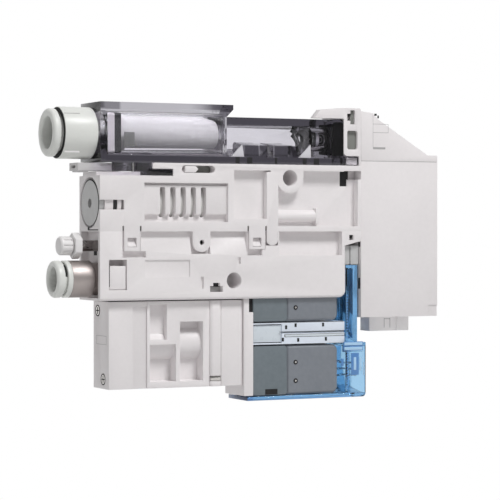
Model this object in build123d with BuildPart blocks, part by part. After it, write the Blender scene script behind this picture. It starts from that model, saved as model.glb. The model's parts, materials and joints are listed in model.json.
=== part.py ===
from build123d import *
import os

os.makedirs("parts", exist_ok=True)

# A slim vacuum ejector unit, in millimetres. It screws to a wall at Y = 0 and faces -Y.
# The origin lies on the wall, midway between the two screw holes. Z is up, +X is the switch end.

# Whole unit
unit_width = 15.0
screw_span_x = 17.3
screw_span_z = 28.4
screw_hole_d = 4.5
left_end = -48.35
seat_gap = 0.1
running_gap = 0.25

# Upper block with the ejector inside
block_length = 79.6
seam_z = -0.7
rail_top = 17.9
ledge_top = 14.4
land_top = 15.4
land_length = 15.0
land_depth = 9.8
rail_start = 15.3
rail_nose_round = 0.7
arm_slot_end = 21.4
arm_slot_height = 1.9
arm_slot_depth = 3.4
case_slot_x = 24.0
case_slot_length = 9.9
case_slot_z = 16.3
case_slot_height = 2.0
case_slot_depth = 3.0
vent_x = 12.9
vent_length = 25.0
vent_z = 1.9
vent_height = 10.6
vent_depth = 1.9
vent_panel_z = 4.0
vent_panel_height = 7.8
vent_panel_rise = 1.1
vent_slot_count = 5
vent_slot_first_x = 17.8
vent_slot_pitch = 3.05
vent_slot_width = 1.6
vent_slot_z = 3.2
vent_slot_height = 8.2
pocket_one_x = 39.7
pocket_one_length = 11.3
pocket_one_z = 2.8
pocket_one_top = 16.2
pocket_one_depth = 2.0
column_width = 3.4
column_top = 15.8
column_bottom = -4.5
column_round = 1.5
pocket_two_x = 53.3
pocket_two_margin = 1.0
pocket_two_z = 0.8
pocket_two_top = 16.2
pocket_two_depth = 2.6
screw_boss_r = 4.2
passage_z = 3.6
passage_r = 1.7
passage_end = 65.6
passage_rib_length = 1.2
passage_rib_height = 4.4
switch_notch_z = 14.0
switch_notch_height = 2.4
switch_notch_leg = 2.3
switch_notch_drop = 1.9
switch_notch_depth = 4.0
switch_notch_leg_depth = 12.0

# Snap tongues and the drilled tab of the upper block
tongue_thickness = 1.3
tongue_one_x = 7.0
tongue_one_width = 4.6
tongue_one_end = -6.0
tongue_two_x = 44.3
tongue_two_width = 5.0
tongue_two_end = -5.6
tongue_window_width = 2.6
tongue_window_height = 2.5
tongue_window_top = -2.4
tongue_relief_width = 0.5
tongue_relief_height = 1.5
tongue_pocket_tail = 1.7
tongue_one_tail_width = 6.4
tongue_two_tail_width = 4.1
tab_x = 27.3
tab_width = 5.2
tab_end = -6.3
tab_hole_d = 1.4
tab_hole_x = 30.0
tab_hole_z = -3.7
tab_hole_depth = 6.0

# Lower block
base_bottom = -19.3
base_edge_round = 0.8
wing_length = 4.8
cover_corner_round = 2.0
wing_z_left = -4.6
wing_z_right = -3.4
skirt_lead = 1.8
skirt_top = -10.0
skirt_wall = 1.1
end_pocket_depth = 2.0
end_wall_front = 1.4
end_wall_back = 1.4
end_floor = 0.7
slope_depth = 1.6
slope_height = 6.5
slope_one_x = 11.9
slope_one_end = 26.9
slope_two_x = 31.9
slope_two_end = 43.7
band_x = 53.6
band_margin = 1.3
band_height = 6.7
band_depth = 2.2
clip_window_x = 2.6
clip_window_width = 5.2
clip_window_z = -16.4
clip_window_height = 8.1
clip_window_depth = 4.4
clip_setback = 0.4
plate_recess_x = 13.1
plate_recess_length = 13.3
plate_recess_z = -13.1
plate_recess_height = 4.7
plate_recess_depth = 0.35
pin_hole_x = 32.4
pin_hole_width = 3.9
pin_hole_z = -17.3
pin_hole_height = 1.6
pin_hole_neck_width = 2.0
pin_hole_neck_height = 0.9
pin_hole_depth = 2.6
small_slot_width = 0.9
small_slot_depth = 0.6
small_slot_one = (29.6, -16.3, -13.1)
small_slot_two = (40.8, -9.6, -7.8)
square_hole_side = 1.4
square_hole_from_end = 3.1
square_hole_z = -2.4
square_hole_depth = 2.0

# Ejector set, turned about one axis
ejector_z = 7.1
ejector_bore_d = 13.8
ejector_bore_length = 6.6
ejector_plug_d = 12.8
ejector_plug_length = 1.5
ejector_plug_setback = 0.2
ejector_plug_hole_d = 3.0
sleeve_flange_length = 2.4
sleeve_tail_length = 1.2
sleeve_core_d = 9.6
sleeve_length = 11.8
sleeve_spigot_d = 6.8
sleeve_spigot_length = 1.7
o_ring_cord = 1.1
inspection_slot_length = 7.0
inspection_slot_z = 5.2
inspection_slot_height = 2.6
nozzle_d = 4.0
nozzle_tip_d = 2.2
nozzle_length = 5.9
nozzle_tip_length = 1.6
nozzle_bore_d = 1.2
nozzle_inlet_d = 2.6
silencer_d = 10.0
silencer_bore_d = 5.6
silencer_x = 13.6
silencer_length = 22.6
diffuser_d = 4.6
diffuser_bore_d = 1.8
diffuser_exit_d = 3.4
diffuser_length = 24.0
diffuser_inlet_length = 8.0

# Vacuum port at the top left
vacuum_z = 25.8
vacuum_body_d = 14.0
vacuum_body_x = -9.5
vacuum_body_length = 9.4
vacuum_spigot_d = 9.8
vacuum_spigot_length = 6.6
vacuum_tube_d = 8.0
vacuum_seat_length = 4.0
vacuum_rim_wall = 0.4
vacuum_rim_depth = 1.6
vacuum_reach = 4.0
vacuum_release_d = 13.0
vacuum_release_flange = 2.0
vacuum_release_travel = 0.9

# Supply port at the lower left
supply_z = -13.5
supply_body_d = 10.0
supply_body_x = -7.9
supply_body_length = 6.6
supply_stem_d = 8.6
supply_stem_length = 8.7
supply_tube_d = 6.0
supply_seat_length = 6.5
supply_shoulder_d = 8.8
supply_shoulder_length = 1.9
supply_groove_wall = 0.5
supply_reach = 2.4
supply_collar_d = 10.0
supply_collar_length = 1.4
supply_release_d = 10.0
supply_release_flange = 2.2
supply_release_travel = 0.7

# Shared by both quick release ports
tube_clearance = 0.5
release_wall = 1.0
guide_gap = 0.1
chuck_length = 1.8
chuck_wall = 0.45
tube_seal_length = 1.6
release_over_travel = 0.3
seat_fit = 0.1
tube_fit = 0.03
flow_wall = 1.0

# Adjusting needle with its knob and lock nut
needle_z = -4.55
needle_stem_d = 3.0
needle_stem_length = 19.0
needle_tip_length = 2.5
needle_tip_d = 1.0
knob_x = -9.0
knob_length = 3.6
knob_recess = 0.9
knob_d = 5.1
knob_flutes = 10
knob_flute_r = 0.35
lock_nut_x = -5.2
lock_nut_length = 2.0
lock_nut_flats = 6.2
needle_travel = 1.5

# Filter case on top
case_x = 0.3
case_length = 37.3
case_top = 34.1
case_side_gap = 0.3
case_plate = 2.0
case_flange_length = 2.2
case_end_flange = 1.0
case_lip_length = 2.0
case_lip_height = 1.3
case_wall = 0.8
case_roof = 0.6
chamber_round = 1.0
filter_d = 9.0
filter_bore_d = 5.0
filter_end_gap = 0.4
filter_flange_d = 11.0
holder_length = 2.0
gasket_length = 1.9
duct_top = 30.9
duct_width = 9.4
duct_wall = 0.8
duct_roof = 2.0
duct_bore_d = 5.2
duct_rib_height = 3.4
duct_rib_slant = 2.2
first_rib_end = 2.6
second_rib = (6.5, 13.9)
third_rib = (15.8, 24.0)
foot_x = 4.3
foot_length = 5.2
second_foot_x = 10.7
second_foot_length = 4.1
foot_depth = 2.2
arm_x = 12.7
arm_height = 1.5
clear_foot_setback = 0.2
clear_foot_length = 4.6
clear_foot_height = 2.6
clear_foot_depth = 4.5
clear_round = 0.65

# Check valve in the duct
valve_z = 25.2
valve_housing_d = 8.6
valve_block_length = 3.7
valve_chamber_d = 7.0
valve_chamber_setback = 8.0
valve_chamber_length = 6.0
valve_seat_length = 1.2
valve_seat_bore_d = 2.6
valve_disc_d = 6.2
valve_disc_thickness = 1.0
valve_hub_d = 2.1

# Lock lever under the case plate
lever_x = -4.7
lever_length = 14.0
lever_width = 6.4
lever_grip_length = 2.4
lever_grip_height = 0.35
lever_grip_setback = 0.8
lever_recess_width = 3.0
lever_recess_height = 0.8

# Valve stack under the lower block
stack_front_gap = 2.0
stack_top_gasket = 0.35
gasket_margin = 1.0
stack_bottom = -43.3
end_block_x = 3.3
end_block_length = 11.2
channel_width = 4.1
channel_depth = 0.5
channel_drop = 1.4
valve_body_length = 18.6
upper_pocket_depth = 2.2
lower_pocket_depth = 4.0
valve_rim_top = 0.9
valve_rim_bottom = 1.7
upper_pocket = (0.9, 5.9, 10.5)
lower_pocket = (0.9, 8.6)
right_pocket = (9.8, 16.7, 5.7)
valve_bore_z = -31.5
valve_bore_d = 5.6
valve_bulge_r = 4.4
rib_width = 3.6
rib_round = 1.1
rib_rise = 0.6
clip_length = 3.3
clip_height = 1.5
clip_from_bottom = 1.4
clip_round = 0.4
link_block_length = 6.7
link_bevel = 0.5
spool_d = 5.5
spool_waist_d = 3.6
spool_length = 9.6
spool_land = 2.4
spool_travel = 1.0
end_screw_d = 3.0
end_screw_length = 11.9
end_screw_upper = (-5.0, -22.2)
end_screw_lower = (-8.9, -40.7)

# Pilot valves
pilot_side_gap = 0.2
pilot_wall_gap = 1.4
frame_length = 2.8
frame_notch_length = 1.3
frame_notch_height = 3.8
pilot_coil_length = 10.5
yoke_clearance = 2.4
pilot_height = 13.7
strip_z = -29.2
strip_height = 6.2
strip_gap = 0.3
strip_reach = 0.2
strip_step_length = 8.9
strip_step_depth = 0.5
coil_round = 0.8
yoke_round = 1.8
yoke_step = 0.6
yoke_pin_d = 0.9
yoke_pin_x = 2.7
yoke_pin_rise = 0.15
yoke_pin_drops = (4.7, 9.9)
plunger_d = 4.0
plunger_length = 9.0
plunger_travel = 0.4
plunger_bevel = 0.4
pilot_passage_d = 2.0

# Blue cover round the pilot valves
cover_wall = 1.1
tray_gap = 1.0
cover_gap = 0.5
cover_bar_length = 3.8
cover_socket_length = 6.6
cover_top = -10.2
cover_step_z = -32.2
cover_bottom = -47.7
cover_latch_height = 2.6
socket_pin_d = 0.6
socket_pin_length = 4.6
socket_pin_pitch = 2.0
socket_pin_count = 3

# Bracket and pressure switch
bracket_length = 5.5
bracket_top = 34.2
bracket_back_gap = 1.9
bracket_roof = 2.4
bracket_roof_reach = 9.4
bracket_roof_nose = 2.0
bracket_roof_depth = 2.6
bracket_foot_round = 1.2
bracket_window_length = 3.3
bracket_window_height = 5.3
bracket_window_z = 22.5
bracket_window_round = 0.6
bracket_window_depth = 4.3
key_slot_width = 1.5
key_slot_height = 4.0
key_slot_arm = 1.0
key_slot_depth = 2.6
switch_length = 25.2
switch_side_gap = 0.2
switch_bottom = -25.1
switch_seam = 19.3
switch_shoulder = 21.2
switch_flat = 3.2
switch_crown = 33.4
switch_crown_length = 5.6
crown_flat_length = 3.7
crown_step = 0.45
crown_drop = 2.2
switch_front_step = 0.3
switch_wall = 1.3
display_start = 2.9
display_length = 8.0
display_width = 9.0
display_depth = 0.6
key_count = 3
key_d = 2.6
key_pitch = 4.0
key_from_display = 3.4
key_rise = 0.3
key_depth = 1.2
key_travel = 0.3
connector_setback = 5.3
connector_length = 13.0
connector_width = 5.4
connector_height = 4.2
connector_wall = 0.8
connector_groove_start = 8.2
connector_pin_count = 5
connector_pin_pitch = 2.0
connector_pin_d = 0.6
board_thickness = 1.0
board_length = 20.0
board_height = 34.0
nipple_d = 3.2
nipple_bore_d = 1.6
nipple_z = 8.0
nipple_reach = 2.3


def along(distance):
    # a place measured from the left end of the blocks
    return left_end + distance


mid = -unit_width / 2
front = Plane.XZ.offset(unit_width)

# Places that follow the length of the block and of the valve stack
pocket_two_end = block_length - pocket_two_margin
cover_end = block_length - wing_length
bracket_x = block_length - bracket_length
duct_end = bracket_x - seat_gap
valve_body_x = end_block_x + end_block_length
rib_x = valve_body_x + valve_body_length
link_x = rib_x + rib_width
link_end = link_x + link_block_length
cover_x = cover_end + cover_gap
right_screw = (screw_span_x / 2, screw_span_z / 2)
left_screw = (-screw_span_x / 2, -screw_span_z / 2)


def front_window(start, end, bottom, top, corner=0.0, plane=front):
    # a rectangle on the front plane, with its sides measured from the left end
    with BuildSketch(plane) as window:
        with Locations((along((start + end) / 2), (bottom + top) / 2)):
            Rectangle(end - start, top - bottom)
        if corner > 0:
            fillet(window.vertices(), corner)
    return window.sketch


def turning(height, depth=mid):
    # plane for a half profile whose local Y is the radius about a lengthwise axis
    return Plane(origin=(0, depth, height), x_dir=(1, 0, 0), z_dir=(0, -1, 0))


def turned_axis(height, depth=mid):
    return Axis((0, depth, height), (1, 0, 0))


def half_profile(height, steps, depth=mid):
    # closed half section from (place, radius) steps, with places from the left end
    with BuildSketch(turning(height, depth)) as section:
        with BuildLine():
            Polyline([(along(x), r) for x, r in steps], close=True)
        make_face()
    return section.sketch


def round_section(place, height, diameter, depth=mid):
    # a disc across the length, for bores and rods along X
    with BuildSketch(Plane.YZ.offset(along(place))) as disc:
        with Locations((depth, height)):
            Circle(diameter / 2)
    return disc.sketch


def finish(piece, name):
    piece.part.label = name
    export_step(piece.part, "parts/" + name + ".step")


# Upper block: one moulding with the ejector bore, vents, pockets, screw boss and snap tongues
silencer_bore = silencer_d + 2 * seat_gap
tongues = (
    (tongue_one_x, tongue_one_width, tongue_one_end, tongue_one_tail_width),
    (tongue_two_x, tongue_two_width, tongue_two_end, tongue_two_tail_width),
)
column_start = tongue_two_x + tongue_two_width + tongue_relief_width
column_end = column_start + column_width
with BuildPart() as ejector_block:
    with BuildSketch(Plane.XZ) as block_outline:
        with BuildLine():
            Polyline(
                (along(0), seam_z),
                (along(0), ledge_top),
                (along(rail_start), ledge_top),
                (along(rail_start), rail_top),
                (along(block_length), rail_top),
                (along(block_length), seam_z),
                close=True,
            )
        make_face()
        fillet(block_outline.vertices().filter_by_position(Axis.Y, rail_top - 0.01, rail_top + 0.01)
               .sort_by(Axis.X)[0], rail_nose_round)
    extrude(amount=unit_width)
    with BuildSketch(Plane.XY.offset(ledge_top)):
        with Locations((along(land_length / 2), mid)):
            Rectangle(land_length, land_depth)
    extrude(amount=land_top - ledge_top)
    # slot of the case arm, under the nose of the rail
    arm_slot = front_window(rail_start - 1, arm_slot_end, ledge_top, ledge_top + arm_slot_height)
    extrude(arm_slot, amount=-arm_slot_depth, mode=Mode.SUBTRACT)
    with BuildSketch(front):
        with Locations((along(case_slot_x + case_slot_length / 2), case_slot_z)):
            SlotOverall(case_slot_length, case_slot_height)
    extrude(amount=-case_slot_depth, mode=Mode.SUBTRACT)
    # exhaust vents
    vent = front_window(vent_x, vent_x + vent_length, vent_z, vent_z + vent_height)
    extrude(vent, amount=-vent_depth, mode=Mode.SUBTRACT)
    vent_floor = Plane.XZ.offset(unit_width - vent_depth)
    panel = front_window(vent_x, vent_x + vent_length, vent_panel_z, vent_panel_z + vent_panel_height,
                         plane=vent_floor)
    extrude(panel, amount=vent_panel_rise)
    extrude(round_section(silencer_x - 1, ejector_z, silencer_bore),
            amount=silencer_length + 2, mode=Mode.SUBTRACT)
    for index in range(vent_slot_count):
        slot_start = vent_slot_first_x + index * vent_slot_pitch
        slot = front_window(slot_start, slot_start + vent_slot_width, vent_slot_z,
                            vent_slot_z + vent_slot_height, vent_slot_width / 3)
        extrude(slot, amount=-unit_width / 2, mode=Mode.SUBTRACT)
    # pockets on the right
    pocket_one = front_window(pocket_one_x, pocket_one_x + pocket_one_length, pocket_one_z, pocket_one_top)
    extrude(pocket_one, amount=-pocket_one_depth, mode=Mode.SUBTRACT)
    pocket_two = front_window(pocket_two_x, pocket_two_end, pocket_two_z, pocket_two_top)
    extrude(pocket_two, amount=-pocket_two_depth, mode=Mode.SUBTRACT)
    with BuildSketch(front):
        with Locations(right_screw):
            Circle(screw_boss_r)
        with Locations((right_screw[0], pocket_two_top)):
            Rectangle(2 * screw_boss_r, 2 * (pocket_two_top - right_screw[1]))
        with Locations((along((pocket_two_x + pocket_two_end) / 2), (pocket_two_z + pocket_two_top) / 2)):
            Rectangle(pocket_two_end - pocket_two_x, pocket_two_top - pocket_two_z, mode=Mode.INTERSECT)
    extrude(amount=-pocket_two_depth)
    pocket_floor = unit_width - pocket_two_depth
    with BuildSketch(Plane.YZ.offset(along(pocket_two_x))):
        with Locations((-pocket_floor, passage_z)):
            Circle(passage_r)
    extrude(amount=passage_end - pocket_two_x)
    rib = front_window(passage_end, passage_end + passage_rib_length,
                       passage_z - passage_rib_height / 2, passage_z + passage_rib_height / 2,
                       plane=Plane.XZ.offset(pocket_floor))
    extrude(rib, amount=passage_r)
    # half round column beside the second tongue
    column = front_window(column_start, column_end, seam_z, column_top,
                          plane=Plane.XZ.offset(unit_width - pocket_one_depth))
    extrude(column, amount=pocket_one_depth)
    # notch at the switch
    notch = front_window(bracket_x, block_length, switch_notch_z, switch_notch_z + switch_notch_height)
    extrude(notch, amount=-switch_notch_depth, mode=Mode.SUBTRACT)
    notch_leg = front_window(bracket_x, bracket_x + switch_notch_leg,
                             switch_notch_z - switch_notch_drop, switch_notch_z)
    extrude(notch_leg, amount=-switch_notch_leg_depth, mode=Mode.SUBTRACT)
    # ejector bore from the left end, and the slot that shows the sleeve
    extrude(round_section(0, ejector_z, ejector_bore_d), amount=ejector_bore_length, mode=Mode.SUBTRACT)
    extrude(round_section(0, ejector_z, sleeve_core_d + 2 * seat_gap), amount=silencer_x,
            mode=Mode.SUBTRACT)
    inspection = front_window(0, inspection_slot_length, inspection_slot_z,
                              inspection_slot_z + inspection_slot_height)
    extrude(inspection, amount=-unit_width / 4, mode=Mode.SUBTRACT)
    extrude(round_section(block_length - nipple_reach, nipple_z, nipple_d + 2 * seat_gap),
            amount=nipple_reach, mode=Mode.SUBTRACT)
    # snap tongues and the drilled tab that hang over the lower block
    for start, width, end, tail_width in tongues:
        tongue = front_window(start, start + width, end, seam_z)
        extrude(tongue, amount=-tongue_thickness)
        window_start = start + (width - tongue_window_width) / 2
        tongue_window = front_window(window_start, window_start + tongue_window_width,
                                     tongue_window_top - tongue_window_height, tongue_window_top)
        extrude(tongue_window, amount=-tongue_thickness, mode=Mode.SUBTRACT)
        for side in (start - tongue_relief_width, start + width):
            relief = front_window(side, side + tongue_relief_width, seam_z, seam_z + tongue_relief_height)
            extrude(relief, amount=-tongue_thickness, mode=Mode.SUBTRACT)
    with BuildSketch(front):
        tab_middle = along(tab_x + tab_width / 2)
        with Locations((tab_middle, seam_z)):
            Rectangle(tab_width, seam_z - tab_end - tab_width / 2, align=(Align.CENTER, Align.MAX))
        with Locations((tab_middle, tab_end + tab_width / 2)):
            Circle(tab_width / 2)
    extrude(amount=-tongue_thickness)
    with BuildSketch(front):
        with Locations((along(tab_hole_x), tab_hole_z)):
            Circle(tab_hole_d / 2)
    extrude(amount=-tongue_thickness, mode=Mode.SUBTRACT)
    with BuildSketch(front) as column_foot:
        with Locations((along((column_start + column_end) / 2), (seam_z + column_bottom) / 2)):
            Rectangle(column_width, seam_z - column_bottom)
        fillet(column_foot.vertices().group_by(Axis.Y)[0], column_round)
    extrude(amount=-tongue_thickness)
    with BuildSketch(front):
        with Locations(right_screw):
            Circle(screw_hole_d / 2)
    extrude(amount=-unit_width, mode=Mode.SUBTRACT)
finish(ejector_block, "ejector_block")


# Lower block: carries the supply port, the needle and the snap lugs, with a skirt before the pilot valves
stem_bore_d = supply_stem_d + 2 * seat_fit
supply_collar_end = supply_body_x + supply_collar_length
supply_shoulder_x = supply_collar_end + supply_body_length
stem_end = supply_shoulder_x + supply_shoulder_length + supply_stem_length
pocket_floor_x = end_pocket_depth
with BuildPart() as base_block:
    with BuildSketch(Plane.XZ) as base_outline:
        with BuildLine():
            Polyline(
                (along(0), base_bottom),
                (along(0), seam_z),
                (along(block_length), seam_z),
                (along(block_length), wing_z_right),
                (along(cover_end), wing_z_left),
                (along(cover_end), base_bottom),
                close=True,
            )
        make_face()
        fillet(base_outline.vertices().group_by(Axis.Y)[0].sort_by(Axis.X)[-1], cover_corner_round)
    extrude(amount=unit_width)
    fillet(base_block.faces().sort_by(Axis.Y)[0].edges().sort_by(Axis.Z)[0], base_edge_round)
    # room behind the skirt
    skirt_start = link_end + skirt_lead - frame_length
    skirt_room = front_window(skirt_start, cover_end + 1, base_bottom - 1, skirt_top, plane=Plane.XZ)
    extrude(skirt_room, amount=unit_width - skirt_wall, mode=Mode.SUBTRACT)
    # open pocket in the left end, round the port and the needle
    with BuildSketch(Plane.YZ.offset(along(0))):
        pocket_middle = -(unit_width - end_wall_front + end_wall_back) / 2
        with Locations((pocket_middle, (base_bottom + end_floor + seam_z) / 2)):
            Rectangle(unit_width - end_wall_front - end_wall_back, seam_z - base_bottom - end_floor)
    extrude(amount=end_pocket_depth, mode=Mode.SUBTRACT)
    extrude(round_section(pocket_floor_x, supply_z, stem_bore_d),
            amount=stem_end - pocket_floor_x + seat_gap, mode=Mode.SUBTRACT)
    extrude(round_section(pocket_floor_x, needle_z, needle_stem_d + 2 * guide_gap),
            amount=lock_nut_x + lock_nut_length + needle_stem_length + needle_travel - pocket_floor_x,
            mode=Mode.SUBTRACT)
    # window of the fitting clip
    clip_window = front_window(clip_window_x, clip_window_x + clip_window_width, clip_window_z,
                               clip_window_z + clip_window_height)
    extrude(clip_window, amount=-clip_window_depth, mode=Mode.SUBTRACT)
    # the front slopes back towards the seam between the tongues
    for start, end in ((slope_one_x, slope_one_end), (slope_two_x, slope_two_end)):
        with BuildSketch(Plane.YZ.offset(along(start))):
            with BuildLine():
                Polyline(
                    (-unit_width, seam_z),
                    (-unit_width + slope_depth, seam_z),
                    (-unit_width, seam_z - slope_height),
                    close=True,
                )
            make_face()
        extrude(amount=end - start, mode=Mode.SUBTRACT)
    band = front_window(band_x, cover_end - band_margin, seam_z - band_height, seam_z)
    extrude(band, amount=-band_depth, mode=Mode.SUBTRACT)
    # pockets for the tongues, each with its ramped lug
    pocket_depth = tongue_thickness + seat_gap
    for start, width, end, tail_width in tongues:
        tongue_pocket = front_window(start - tongue_relief_width, start + width + seat_gap, end - seat_gap,
                                     seam_z)
        extrude(tongue_pocket, amount=-pocket_depth, mode=Mode.SUBTRACT)
        tail = front_window(start - tongue_relief_width, start + tail_width, end - tongue_pocket_tail, end)
        extrude(tail, amount=-pocket_depth, mode=Mode.SUBTRACT)
        lug_start = start + (width - tongue_window_width) / 2 + seat_gap
        lug_top = tongue_window_top - seat_gap
        lug_bottom = tongue_window_top - tongue_window_height + seat_gap
        with BuildSketch(Plane.YZ.offset(along(lug_start))):
            with BuildLine():
                Polyline(
                    (-unit_width + pocket_depth, lug_bottom),
                    (-unit_width, lug_bottom),
                    (-unit_width + pocket_depth, lug_top),
                    close=True,
                )
            make_face()
        extrude(amount=tongue_window_width - 2 * seat_gap)
    tab_pocket = front_window(tab_x - tongue_relief_width, tab_x + tab_width + seat_gap,
                              tab_end - tongue_relief_width, seam_z)
    extrude(tab_pocket, amount=-pocket_depth, mode=Mode.SUBTRACT)
    with BuildSketch(front):
        with Locations((along(tab_hole_x), tab_hole_z)):
            Circle(tab_hole_d / 2)
    extrude(amount=-tab_hole_depth, mode=Mode.SUBTRACT)
    column_pocket = front_window(tongue_two_x + tongue_two_width, column_end + seat_gap,
                                 column_bottom - seat_gap, seam_z)
    extrude(column_pocket, amount=-pocket_depth, mode=Mode.SUBTRACT)
    # plain plate recess, clip pin hole and the small moulded slots
    plate_recess = front_window(plate_recess_x, plate_recess_x + plate_recess_length, plate_recess_z,
                                plate_recess_z + plate_recess_height)
    extrude(plate_recess, amount=-plate_recess_depth, mode=Mode.SUBTRACT)
    pin_hole_top = pin_hole_z + pin_hole_height
    pin_hole = front_window(pin_hole_x, pin_hole_x + pin_hole_width, pin_hole_z, pin_hole_top)
    extrude(pin_hole, amount=-pin_hole_depth, mode=Mode.SUBTRACT)
    neck_x = pin_hole_x + (pin_hole_width - pin_hole_neck_width) / 2
    pin_neck = front_window(neck_x, neck_x + pin_hole_neck_width, pin_hole_top,
                            pin_hole_top + pin_hole_neck_height)
    extrude(pin_neck, amount=-pin_hole_depth, mode=Mode.SUBTRACT)
    for place in (small_slot_one, small_slot_two):
        small_slot = front_window(place[0], place[0] + small_slot_width, place[1], place[2])
        extrude(small_slot, amount=-small_slot_depth, mode=Mode.SUBTRACT)
    hole_half = square_hole_side / 2
    square_hole_x = block_length - square_hole_from_end
    square_hole = front_window(square_hole_x - hole_half, square_hole_x + hole_half,
                               square_hole_z - hole_half, square_hole_z + hole_half)
    extrude(square_hole, amount=-square_hole_depth, mode=Mode.SUBTRACT)
    with BuildSketch(front):
        with Locations(left_screw):
            Circle(screw_hole_d / 2)
    extrude(amount=-unit_width, mode=Mode.SUBTRACT)
finish(base_block, "base_block")

# Grey disc that closes the ejector bore
plug_end = ejector_plug_setback + ejector_plug_length
sleeve_seat_r = sleeve_spigot_d / 2
with BuildPart() as ejector_plug:
    hole_r = ejector_plug_hole_d / 2
    revolve(half_profile(ejector_z, (
        (ejector_plug_setback, hole_r),
        (ejector_plug_setback, ejector_plug_d / 2),
        (plug_end, ejector_plug_d / 2),
        (plug_end, sleeve_seat_r),
        (plug_end + sleeve_spigot_length, sleeve_seat_r),
        (plug_end + sleeve_spigot_length, hole_r),
    )), axis=turned_axis(ejector_z))
finish(ejector_plug, "ejector_plug")

# Sleeve that holds the nozzle and the diffuser in line
ejector_bore_r = ejector_bore_d / 2
groove_x = plug_end + sleeve_flange_length
groove_end = groove_x + o_ring_cord + seat_gap
nozzle_x = plug_end + sleeve_spigot_length + seat_gap
nozzle_end = nozzle_x + nozzle_length
sleeve_end = plug_end + sleeve_length
with BuildPart() as ejector_sleeve:
    flange_r = ejector_bore_r - seat_gap
    core_r = sleeve_core_d / 2
    groove_r = ejector_bore_r - o_ring_cord
    revolve(half_profile(ejector_z, (
        (plug_end, sleeve_seat_r),
        (plug_end, flange_r),
        (groove_x, flange_r),
        (groove_x, groove_r),
        (groove_end, groove_r),
        (groove_end, flange_r),
        (groove_end + sleeve_tail_length, flange_r),
        (groove_end + sleeve_tail_length, core_r),
        (sleeve_end, core_r),
        (sleeve_end, diffuser_d / 2),
        (nozzle_end, diffuser_d / 2),
        (nozzle_end, nozzle_d / 2),
        (nozzle_x - seat_gap, nozzle_d / 2),
        (nozzle_x - seat_gap, sleeve_seat_r),
    )), axis=turned_axis(ejector_z))
finish(ejector_sleeve, "ejector_sleeve")

with BuildPart() as ejector_o_ring:
    with BuildSketch(turning(ejector_z)) as ring_section:
        with Locations((along((groove_x + groove_end) / 2), ejector_bore_r - o_ring_cord / 2)):
            RegularPolygon(o_ring_cord / 2, 8, major_radius=False, rotation=22.5)
    revolve(axis=turned_axis(ejector_z))
finish(ejector_o_ring, "ejector_o_ring")

with BuildPart() as nozzle:
    bore_r = nozzle_bore_d / 2
    revolve(half_profile(ejector_z, (
        (nozzle_x, nozzle_inlet_d / 2),
        (nozzle_x, nozzle_d / 2),
        (nozzle_end, nozzle_d / 2),
        (nozzle_end + nozzle_tip_length, nozzle_tip_d / 2),
        (nozzle_end + nozzle_tip_length, bore_r),
        (nozzle_end, bore_r),
    )), axis=turned_axis(ejector_z))
finish(nozzle, "nozzle")

diffuser_x = nozzle_end + nozzle_tip_length + o_ring_cord
with BuildPart() as diffuser:
    revolve(half_profile(ejector_z, (
        (diffuser_x, diffuser_exit_d / 2),
        (diffuser_x, diffuser_d / 2),
        (diffuser_x + diffuser_length, diffuser_d / 2),
        (diffuser_x + diffuser_length, diffuser_exit_d / 2),
        (diffuser_x + diffuser_inlet_length, diffuser_bore_d / 2),
    )), axis=turned_axis(ejector_z))
finish(diffuser, "diffuser")

# Porous silencer tube behind the vents
with BuildPart() as silencer:
    extrude(round_section(silencer_x, ejector_z, silencer_d), amount=silencer_length)
    extrude(round_section(silencer_x, ejector_z, silencer_bore_d), amount=silencer_length,
            mode=Mode.SUBTRACT)
finish(silencer, "silencer")


def guide_radius(tube_d):
    # bore of a quick release port, in which its release sleeve runs
    return (tube_d + tube_clearance) / 2 + release_wall + guide_gap


def guide_length(reach, travel):
    return reach + travel + release_over_travel


def make_release(face_x, flange, flange_d, tube_d, height, body_x, reach):
    # push button with a mushroom flange and a sleeve that opens the gripping ring
    hole_r = (tube_d + tube_clearance) / 2
    sleeve_r = hole_r + release_wall
    bevel = release_wall / 2
    with BuildPart() as release:
        revolve(half_profile(height, (
            (face_x, hole_r + bevel),
            (face_x, flange_d / 2 - bevel),
            (face_x + bevel, flange_d / 2),
            (face_x + flange, flange_d / 2),
            (face_x + flange, sleeve_r),
            (body_x + reach, sleeve_r),
            (body_x + reach, hole_r),
            (face_x + bevel, hole_r),
        )), axis=turned_axis(height))
    return release


def make_chuck(start, tube_d, height):
    # gripping ring: a thin springy cone
    outer_r = guide_radius(tube_d) - seat_gap / 2
    lip_r = (tube_d + tube_clearance) / 2
    with BuildPart() as chuck:
        revolve(half_profile(height, (
            (start, outer_r - chuck_wall),
            (start, outer_r),
            (start + chuck_length, outer_r),
            (start + chuck_length, lip_r),
            (start + chuck_length - chuck_wall, lip_r),
            (start + chuck_length - chuck_wall, outer_r - chuck_wall),
        )), axis=turned_axis(height))
    return chuck


def make_tube_seal(start, tube_d, height):
    outer_r = guide_radius(tube_d) - seat_gap / 2
    lip_r = tube_d / 2 + tube_fit
    with BuildPart() as seal:
        revolve(half_profile(height, (
            (start, lip_r),
            (start, outer_r),
            (start + tube_seal_length, outer_r),
            (start + tube_seal_length, lip_r),
        )), axis=turned_axis(height))
    return seal


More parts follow.
